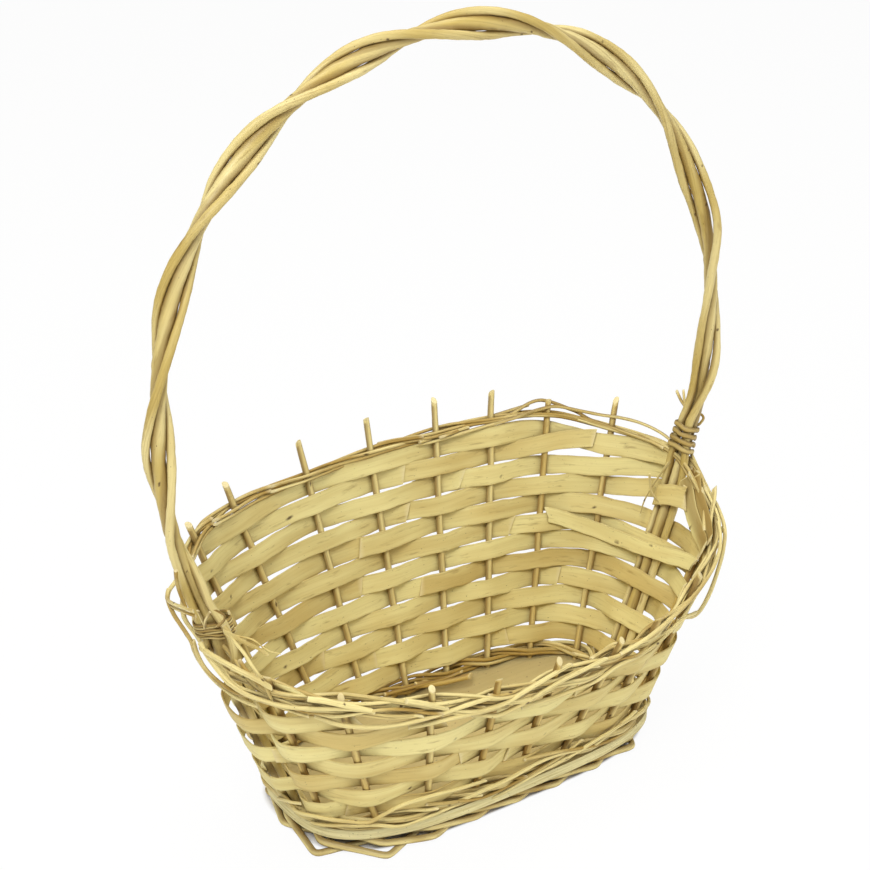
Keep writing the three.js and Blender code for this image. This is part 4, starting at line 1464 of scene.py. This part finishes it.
LOOSE_RODS = (
    LooseRod("cut_twig_left", 1.5, (11.6, 8.5, 3,  11.9, 8.45, 4,  12.12, 8.1, 4,
        12.33, 7.6, 3.5), Finish.STAKE, 0.05, -0.2),
    LooseRod("cut_twig_right", 1.5, (12.69, 7.8, 2.5,  12.9, 7.4, 3,
        13.16, 6.8, 3), Finish.STAKE, 0.05, -0.2),
    LooseRod("thick_rod_from_left_lapping", 1.45, (10.1, 9.6, 4.5,  10.24, 10, 6.5,  10.6, 10.25, 7,
        10.82, 10.05, 7,  10.98, 9.65, 6,  11.08, 9, 3.5), tone=0),
    LooseRod("border_rod_from_left", 1.25, (10.2, 10.3, 6,  10.31, 9.9, 7,  10.43, 9.4, 7.5,
        10.54, 8.85, 7.5,  10.68, 8.5, 7,  10.92, 8.25, 6,  11.3, 8.1, 5.5,  11.9, 8.1, 5,
        12.3, 7.7, 3.5), tone=0.1, node="front_border_rod_1"),
    LooseRod("outer_rod_at_left", 1.05, (10.16, 10.5, 8,  10.14, 9.75, 9,  10.12, 8.95, 9,  10.2, 8.5, 8.5,
        10.4, 8.35, 8,  10.57, 8.2, 7,  10.77, 8.2, 6,  11.02, 8.05, 5,  11.5, 7.4, 3.5), tone=0.5),
    LooseRod("left_loop_outer", 1.1, (8.94, 11.35, 3,  9.14, 11.4, 5,  9.54, 11.75, 7,  9.76, 11.85, 8.2,
        9.95, 11.5, 9,  10.05, 11.2, 9,  10.15, 10.6, 9,  10.08, 9.8, 9.2,  10, 8.9, 8.8,  10.1, 8.2, 8.2,
        10.4, 7.8, 7.2,  10.8, 7.6, 5.5), tone=0.3, node="rim_wale_rod_1"),
    LooseRod("left_loop_inner_1", 0.95, (9.5, 11.9, 6,  9.74, 12, 8,  10.02, 12.45, 8.2,  10.3, 12.85, 7.6,
        10.5, 13, 6.4), tone=0.4),
    LooseRod("left_loop_inner_2", 0.9, (9.72, 11.6, 7.8,  10, 12.1, 8,  10.3, 12.55, 7.6,
        10.5, 12.7, 6.4), tone=0.6),
    LooseRod("thin_rod_beside_left_leg", 1, (10.55, 11.5, -3,  10.66, 10.85, -2,  10.8, 10.45, 0,
        10.9, 9.95, 2,  10.99, 9.2, 3,  11.04, 8.2, 4)),
    LooseRod("thin_rod_at_twigs", 0.95, (11.6, 7.6, 3,  11.97, 7.5, 4,  12.26, 7.65, 4,  12.51, 7.55, 3.5,
        12.78, 7.15, 3,  12.95, 6.7, 1.5), tone=0.5, node="front_border_rod_1"),
    LooseRod("long_border_rod_1", 1.3, (11.6, 7.3, 2,  11.82, 7, 3,  12.05, 6.85, 4.5,  12.28, 6.65, 4.6,
        12.62, 6.55, 4.6,  12.9, 6.6, 4.5,  13.15, 6.65, 4,  13.52, 6.7, 3.5,
        13.9, 6.45, 1.5), tone=0.1, node="front_border_rod_1"),
    LooseRod("long_border_rod_2", 1.35, (12.7, 5.9, 1.5,  12.96, 6.05, 3.2,  13.24, 6.2, 4.5,
        13.62, 6.12, 4.6,  14.02, 6.13, 4.6,  14.43, 6.45, 4,  14.85, 6.65, 2.4,
        15.2, 6.7, 0.5), tone=0, node="front_border_rod_2"),
    LooseRod("long_border_rod_3", 1.3, (13.6, 5.65, 1.8,  13.8, 5.55, 3.4,  14.06, 5.4, 4.5,
        14.48, 5.7, 4.6,  15.02, 6.2, 4.2,  15.36, 6.3, 3.5,
        15.75, 6.3, 2), tone=0.05, node="front_border_rod_1"),
    LooseRod("long_border_rod_4", 1.2, (14.5, 4.95, 1.5,  14.81, 5.1, 3.2,  15.19, 5.2, 4.6,
        15.63, 5.2, 4.6,  16.03, 5.65, 4.5,  16.64, 5.55, 4.2,  17.05, 5.7, 4.2,  17.53, 6.3, 4.4,
        18, 6, 5.6,  18.26, 5.65, 6.2), tone=0.1, node="front_border_rod_2"),
    LooseRod("right_loop_outer", 1.2, (17.8, 6.1, 4.4,  18.12, 5.75, 6.4,  18.36, 5.85, 8,  18.52, 6.5, 9,
        18.66, 7.3, 9.3,  18.82, 8.2, 9.7,  18.97, 8.9, 9.5,  19.25, 9.6, 8.4,  19.52, 10.15, 7.2,
        19.76, 10.8, 6,  19.94, 11.5, 3.4), tone=0.1, node="rim_wale_rod_2"),
    LooseRod("right_loop_inner", 1.2, (18.94, 4.95, 3,  18.96, 6.3, 3.2,  19.08, 7.55, 4.2,  19.26, 8.55, 5,
        19.5, 9.65, 5,  19.71, 10.45, 4,  19.85, 10.9, 2), tone=0.9),
    LooseRod("right_loop_middle", 0.95, (18.72, 6.6, 5,  18.82, 7.5, 6,  18.95, 8.3, 6.6,  19.08, 8.9, 6.6,
        19.34, 9.65, 6,  19.6, 10.3, 4.6), tone=0.5),
    LooseRod("rod_over_front_right", 1.1, (16, 6.3, 3,  16.6, 6.7, 4.2,  17.2, 7.3, 4.6,  17.8, 8, 4.4,
        18.4, 8.7, 3.6,  18.9, 9.4, 1.6), tone=0.3, node="front_border_rod_2"),
    LooseRod("frayed_tip_at_right_1", 0.55, (19, 9.1, 9,  19.18, 8.4, 8,  19.28, 7.9, 6.8), tone=-0.3),
    LooseRod("frayed_tip_at_right_2", 0.5, (19.02, 9.1, 8.8,  19.14, 8.75, 9.2,  19.28, 8.5, 9), tone=-0.3),
    LooseRod("frayed_tip_at_right_3", 1, (19, 9.05, 9,  19.06, 8.3, 8,  19.14, 7.4, 6), tone=-0.2),
    LooseRod("right_curl", 0.85, (0.03, 12.9, 3.4,  -0.02, 13.15, 4.4,  -0.04, 13.45, 4.6,  0, 13.6, 4.2,
        0.04, 13.4, 3.4), Finish.LAPPING, 0.2, 0.9),
    LooseRod("right_stub_1", 0.95, (0.06, 13.2, -3,  0.11, 13.65, -3.8,  0.22, 14, -4.2,
        0.3, 14.35, -4.2), Finish.LAPPING, 0.1, 0.3),
    LooseRod("right_stub_2", 0.8, (0.08, 13.4, -3.4,  0.16, 13.95, -4.4,
        0.22, 14.5, -4.4), Finish.LAPPING, 0.1, 0.2),
    LooseRod("right_curled_edge", 0.45, (0.33, 9.85, -6,  0.27, 9.4, -6.4,  0.18, 8.95, -7,
        -0.02, 8.62, -6.8), Finish.CHIP, 0.3, 0.1, flatness=1.8),
    LooseRod("right_fibre", 0.5, (0.1, 10.9, -4.5,  0.13, 10.5, -5.2,  0.23, 9.4, -5.4,  0.3, 8.45, -5,
        0.31, 7.65, -4.6), Finish.CHIP, 0.5, 0.2, flatness=1.6),
    LooseRod("chip_strip_right_of_leg_1", 0.4, (-0.2, 8.9, 0.6,  -0.26, 9.35, 1,  -0.28, 10.1, 1.2,
        -0.31, 10.9, 1), Finish.CHIP, 0.1, 0.9, flatness=5),
    LooseRod("chip_strip_right_of_leg_2", 0.45, (-0.2, 10.3, -3,  -0.33, 9.85, -3.8,  -0.51, 9.25, -4.4,
        -0.74, 8.75, -4.6,  -1.05, 8.4, -4.6,  -1.45, 8.35, -4), Finish.CHIP, 0, 0.3, flatness=11),
    LooseRod("chip_strip_right_of_leg_3", 0.45, (-0.35, 10.6, -2,  -0.62, 9.8, -3.2,  -1.08, 9.1, -3.4,
        -1.5, 8.9, -3.2), Finish.CHIP, 0, 1, flatness=9),
    LooseRod("frayed_chip_left", 0.4, (10.55, 11.2, -1.6,  10.65, 11.1, -2.4,  10.79, 10.85, -3,
        10.95, 10.65, -3.4,  11.07, 10.35, -3.4), Finish.CHIP, 0.45, 0.8, flatness=6),
    LooseRod("left_fibre_1", 0.5, (10.6, 11, -2,  10.71, 11, -4,  10.9, 11, -4.6,  11.05, 10.55, -4.6,
        11.28, 10.5, -4), Finish.CHIP, 0.5, 0.7),
    LooseRod("chip_flap_front_1", 0.4, (10.95, 8.55, -2.2,  11.15, 8.65, -0.4,  11.35, 8.6, 0.4,
        11.55, 8.2, 0.6), Finish.CHIP, 0.2, 0, flatness=6.5),
    LooseRod("chip_flap_front_2", 0.4, (12.05, 7.35, -2.4,  12.25, 7.55, -0.8,  12.45, 7.6, 0.2,
        12.66, 7.2, 0.5), Finish.CHIP, 0.3, 0, flatness=6),
    LooseRod("chip_flap_front_3", 0.4, (13.05, 6.3, -2.4,  13.22, 6.5, -0.8,  13.36, 6.5, 0.2,
        13.5, 6.2, 0.5), Finish.CHIP, 0.3, 0.2, flatness=5),
    LooseRod("back_rim_rod_1", 1.15, (4.3, 12, -2.5,  3.88, 12.05, 0.5,  3.34, 12.25, 3,  2.8, 12.5, 3.4,
        2.3, 12.75, 3.5), tone=0.3, node="rim_wale_rod_1"),
    LooseRod("back_rim_rod_2", 1.1, (4.4, 11.8, 3,  3.89, 11.9, -2.5,  3.16, 12.1, -3.2,  2.62, 12.45, 1,
        2.09, 12.95, 3.4,  1.61, 12.4, 2,  1.16, 11.8, -2.6,  0.69, 11.5, -3.4,
        0.2, 11.4, -3.8), tone=0.5, node="rim_wale_rod_2"),
    LooseRod("back_rim_rod_3", 1.05, (3.7, 11.95, 2,  3.24, 12.06, -2.8,  2.69, 12.25, -3,
        2.13, 12.6, -2.6,  1.85, 12.65, -2,  1.52, 12.42, -2,  1.19, 12.25, -2.4,  0.91, 12.25, -3,
        0.65, 12.22, -3.4,  0.36, 12.05, -4,  0.18, 11.85, -4.4), tone=0.4, node="rim_wale_rod_3"),
    LooseRod("left_curl", 0.75, (10.45, 11.3, -2,  10.6, 11.9, -3,  10.66, 12.3, -2.6,
        10.6, 12.7, -1), Finish.LAPPING, 0.3, 0.9),
    LooseRod("left_stub_1", 0.8, (10.5, 11.9, 5,  10.56, 12.3, 6,
        10.57, 13.2, 6.2), Finish.LAPPING, 0.1, 0.3),
    LooseRod("left_stub_2", 0.7, (10.54, 12.1, 5.6,  10.62, 12.7, 6.2,
        10.74, 13.45, 6), Finish.LAPPING, 0.1, 0.3),
    # A strand, drawn tan and dark so that it also stands for the shade inside the left loop.
    LooseRod("left_dark_strand", 1, (10.4, 14.9, 3.4,  10.38, 14.6, 4,  10.3, 13.85, 4.2,  10.24, 13, 4.4,
        10.21, 12.3, 4.4), tone=0.9),
    LooseRod("base_twig_inside", 2, (4.9, -0.35, -5.5,  4.4, -0.55, -8.5,
        3.7, -0.6, -13), Finish.STAKE, 0.1, 1.1),
    LooseRod("base_rod_end_inside", 1.2, (5.6, -0.3, -4,  5, -0.35, -6.5,  4.3, -0.4, -9.5,
        3.9, -0.25, -12), Finish.WALE, 0.3, 1),
    LooseRod("base_rod_1", 1.1, (10.4, -0.6, 4,  10.69, 0, 5.4,  11.1, 0.35, 5.6,  11.51, 0.3, 5.6,
        11.86, 0.1, 5.5,  12.14, 0.45, 5.2,  12.53, 0.9, 4.8,  12.95, 0.95, 4.6,  13.5, 0.8, 4.4,
        14.1, 0.4, 2.4), tone=0.1, node="base_wale_rod_1"),
    LooseRod("base_rod_2", 1.05, (10.8, -0.7, 3.4,  11.04, -0.3, 5.2,  11.49, 0, 5.8,  11.93, -0.1, 5.8,
        12.38, -0.6, 5.4,  12.85, -0.55, 4.8,  13.35, -0.4, 4.6,
        13.9, -0.6, 2.4), tone=0.2, node="base_wale_rod_2"),
    LooseRod("base_rod_3", 0.95, (9.95, -0.4, 5.6,  10.3, 0.2, 6,
        10.84, 0.95, 5.4), tone=-0.1, node="base_wale_rod_3"),
    LooseRod("base_rod_4", 1.15, (13.4, -0.5, 2.8,  13.97, 0, 4.8,  14.52, 0.15, 5.2,  15.23, 0.55, 5.2,
        15.64, 0.5, 5.2,  16.59, -0.1, 5,  17.03, 0.3, 4.8,
        17.7, 0.5, 3.4), tone=0.1, node="base_wale_rod_3"),
    LooseRod("base_rod_5", 1.1, (14.2, -1, 3.2,  14.57, -0.8, 5,  15.23, -0.3, 5.4,  16.1, 0.05, 5.4,
        16.79, 0.35, 5.2,  17.4, 0.4, 4.8,  18.05, 0.1, 4.2,
        18.5, -0.2, 2.4), tone=0, node="base_wale_rod_1"),
    LooseRod("base_rod_6", 1, (14.9, 0.9, 2.8,  15.5, 0.75, 4.8,  16.2, 0.2, 5.2,  16.9, -0.3, 5.2,
        17.5, -0.6, 4.6,  18.1, -0.8, 2.8), tone=0.8, node="base_wale_rod_2"),
    LooseRod("base_rod_7", 0.95, (12.9, 0.2, 2.8,  13.5, -0.1, 5,  14.1, -0.5, 5.2,  14.8, -0.35, 5.2,
        15.6, 0.1, 5,  16.2, 0.6, 3.4), tone=0.7, node="base_wale_rod_2"),
)


@dataclass
class LooseEnds:
    """Twigs, loops and frayed ends where rods start and stop, and rods that lie over the borders."""

    shop: Workshop
    rods: tuple[LooseRod, ...] = LOOSE_RODS

    def build(self) -> None:
        """Builds and dresses every loose rod."""
        wall = self.shop.wall
        for number, rod in enumerate(self.rods):
            u, rows, out = spline(np.reshape(rod.path, (-1, 3)), 12).T
            at, _, _, away = wall.frame(u, wall.rows(rows))
            points = at + away * out[:, None]
            share = run_of(points) / run_of(points)[-1]
            radius = rod.radius * (1 - rod.taper * share)
            tone = rod.tone + 0.25 * np.sin(share * 7 + number)
            # One side of each rod gets painted shade.
            inner = (math.pi / 2,) if rod.flatness == 1 else (9.0,)
            skin = rod_skin(rod.name, points, away, radius, 5000 + number * 7, flatness=rod.flatness,
                            cut=rod.radius * 0.9, tone=tone, inner=inner)
            self.shop.lay(skin, 5000 + number, rod.finish, *([rod.node] if rod.node else []))


@dataclass
class Board:
    """The oval plywood base board with softened edges."""

    shop: Workshop
    margin: float = 5.5
    left_squareness: float = 3.0
    segments: int = 144

    def build(self) -> None:
        """Shapes a disc into the board's outline, gives it thickness and softens its edges."""
        wall = self.shop.wall
        size = RING_LENGTH + 2 * self.margin, RING_WIDTH + 2 * self.margin
        right, left = Oval(*size, RING_SQUARENESS), Oval(*size, self.left_squareness)
        deselect_all()
        bpy.ops.mesh.primitive_circle_add(vertices=self.segments, radius=1.0, fill_type="NGON")
        board = bpy.context.object
        board.name = board.data.name = "base_board_plywood"
        for vertex in board.data.vertices:
            share = np.array(math.atan2(vertex.co.y, vertex.co.x) / (2 * math.pi))
            at_left = float(smoothstep(0.2, -0.2, vertex.co.x))
            x, y = right.at(share) * (1 - at_left) + left.at(share) * at_left
            vertex.co = Vector((np.array([x, y, -wall.board_half]) + wall.shift) * MM)
        up = {"value": (0, 0, wall.board_thickness * MM)}
        edit_mesh(bpy.ops.mesh.extrude_region_move, TRANSFORM_OT_translate=up)
        soften = board.modifiers.new("soften", "BEVEL")
        soften.width = 0.5 * MM
        soften.segments = 2
        soften.limit_method = "ANGLE"
        bpy.ops.object.modifier_apply(modifier=soften.name)
        bpy.ops.object.shade_smooth_by_angle(angle=math.radians(35))
        self.shop.keep(board, Finish.BOARD, "base_board")


@dataclass
class Studio:
    """Pale floor, white backdrop, soft lamps and the camera at the photograph's angle."""

    wall: Wall
    azimuth: float = -34.49
    elevation: float = 23.80
    roll: float = -0.48
    focal_pixels: float = 1869.07
    frame_pixels: float = 870.0
    sensor: float = 36.0
    eye: tuple[float, float, float] = (-500.70, -707.72, 564.03)

    def camera(self) -> None:
        """Makes the camera."""
        az, el, roll = (math.radians(v) for v in (self.azimuth, self.elevation, self.roll))
        back = Vector((math.sin(az) * math.cos(el), -math.cos(az) * math.cos(el), math.sin(el)))
        right = Vector((math.cos(az), math.sin(az), 0.0))
        up = back.cross(right)
        turned_right = right * math.cos(roll) + up * math.sin(roll)
        turned_up = up * math.cos(roll) - right * math.sin(roll)
        deselect_all()
        place = Vector((np.array(self.eye) + self.wall.shift) * MM)
        bpy.ops.object.camera_add(location=place)
        camera = bpy.context.object
        camera.name = "photo_camera"
        axes = Matrix((turned_right, turned_up, back)).transposed()
        camera.matrix_world = Matrix.Translation(place) @ axes.to_4x4()
        camera.data.sensor_fit = "HORIZONTAL"
        camera.data.sensor_width = self.sensor
        camera.data.lens = self.focal_pixels / self.frame_pixels * self.sensor
        camera.data.clip_start = 0.02
        camera.data.clip_end = 20.0
        bpy.context.scene.camera = camera

    def lamp(self, name: str, place: tuple[float, float, float], size: float, watts: float) -> None:
        """Adds a square soft lamp that faces the basket.

        Args:
            name: name of the lamp.
            place: where it hangs, in metres.
            size: side of the square, in metres.
            watts: its power.
        """
        bpy.ops.object.light_add(type="AREA", location=place)
        lamp = bpy.context.object
        lamp.name = name
        lamp.data.shape = "SQUARE"
        lamp.data.size = size
        lamp.data.energy = watts
        lamp.rotation_euler = (Vector((0, 0, 0.12)) - Vector(place)).to_track_quat("-Z", "Y").to_euler()

    def backdrop(self) -> None:
        """Makes the pale floor, which keeps a light shadow, and the white world."""
        deselect_all()
        bpy.ops.mesh.primitive_plane_add(size=6.0, location=(0, 0, -0.0002))
        floor = bpy.context.object
        floor.name = "floor"
        bpy.ops.object.transform_apply(location=True)
        material = bpy.data.materials.new("pale_floor")
        bench = NodeBench(material)
        matt = bench.add("ShaderNodeBsdfPrincipled", {"Base Color": srgb("#f2f1ee"), "Roughness": 0.9})
        path = bench.add("ShaderNodeLightPath", {})
        glow = bench.add("ShaderNodeEmission", {"Color": (1, 1, 1, 1), "Strength": 1.0})
        place = bench.add("ShaderNodeTexCoord", {})
        axes = bench.add("ShaderNodeSeparateXYZ", {0: (place, "Object")})
        shares = []
        for axis, half in (("X", 0.1125), ("Y", 0.0575)):
            size = bench.add("ShaderNodeMath", {0: (axes, axis), 1: 1 / half}, operation="MULTIPLY")
            size = bench.add("ShaderNodeMath", {0: (size, 0)}, operation="ABSOLUTE")
            shares.append(bench.add("ShaderNodeMath", {0: (size, 0), 1: 3.2}, operation="POWER"))
        away = bench.add("ShaderNodeMath", {0: (shares[0], 0), 1: (shares[1], 0)}, operation="ADD")
        open_floor = bench.add("ShaderNodeMapRange", {"Value": (away, 0), "From Min": 0.88, "From Max": 0.96,
                                                      "To Max": 0.95})
        seen = bench.add("ShaderNodeMath", {0: (path, "Is Camera Ray"), 1: (open_floor, 0)},
                         operation="MULTIPLY")
        mix = bench.add("ShaderNodeMixShader", {0: (seen, 0), 1: (matt, "BSDF"), 2: (glow, "Emission")})
        bench.add("ShaderNodeOutputMaterial", {"Surface": (mix, 0)})
        floor.data.materials.append(material)
        world = bpy.data.worlds.new("white_studio")
        bpy.context.scene.world = world
        bench = NodeBench(world)
        path = bench.add("ShaderNodeLightPath", {})
        strength = bench.add("ShaderNodeMapRange", {"Value": (path, "Is Camera Ray"),
                                                    "To Min": 0.40, "To Max": 1.0})
        light = bench.add("ShaderNodeBackground", {"Color": (1.0, 1.0, 1.0, 1.0), "Strength": (strength, 0)})
        bench.add("ShaderNodeOutputWorld", {"Surface": (light, 0)})

    def build(self) -> None:
        """Builds the studio."""
        self.camera()
        self.backdrop()
        self.lamp("key", (-1.05, -0.85, 1.65), 0.8, 27.5)
        self.lamp("fill", (1.0, -1.3, 0.9), 1.2, 8.0)
        self.lamp("top", (0.1, 0.3, 1.7), 1.0, 12.5)
        bpy.context.scene.view_settings.view_transform = "Standard"


def main() -> None:
    """Builds the studio and every piece of the basket in order."""
    logging.basicConfig(level=logging.INFO, format="%(name)s %(message)s")
    wall = Wall()
    shop = Workshop(wall)
    Studio(wall).build()
    for sub_assembly in (Board, Stakes, Handle, ChipWeave, Wales, FootBorder, LooseEnds):
        sub_assembly(shop).build()


if __name__ == "__main__":
    main()
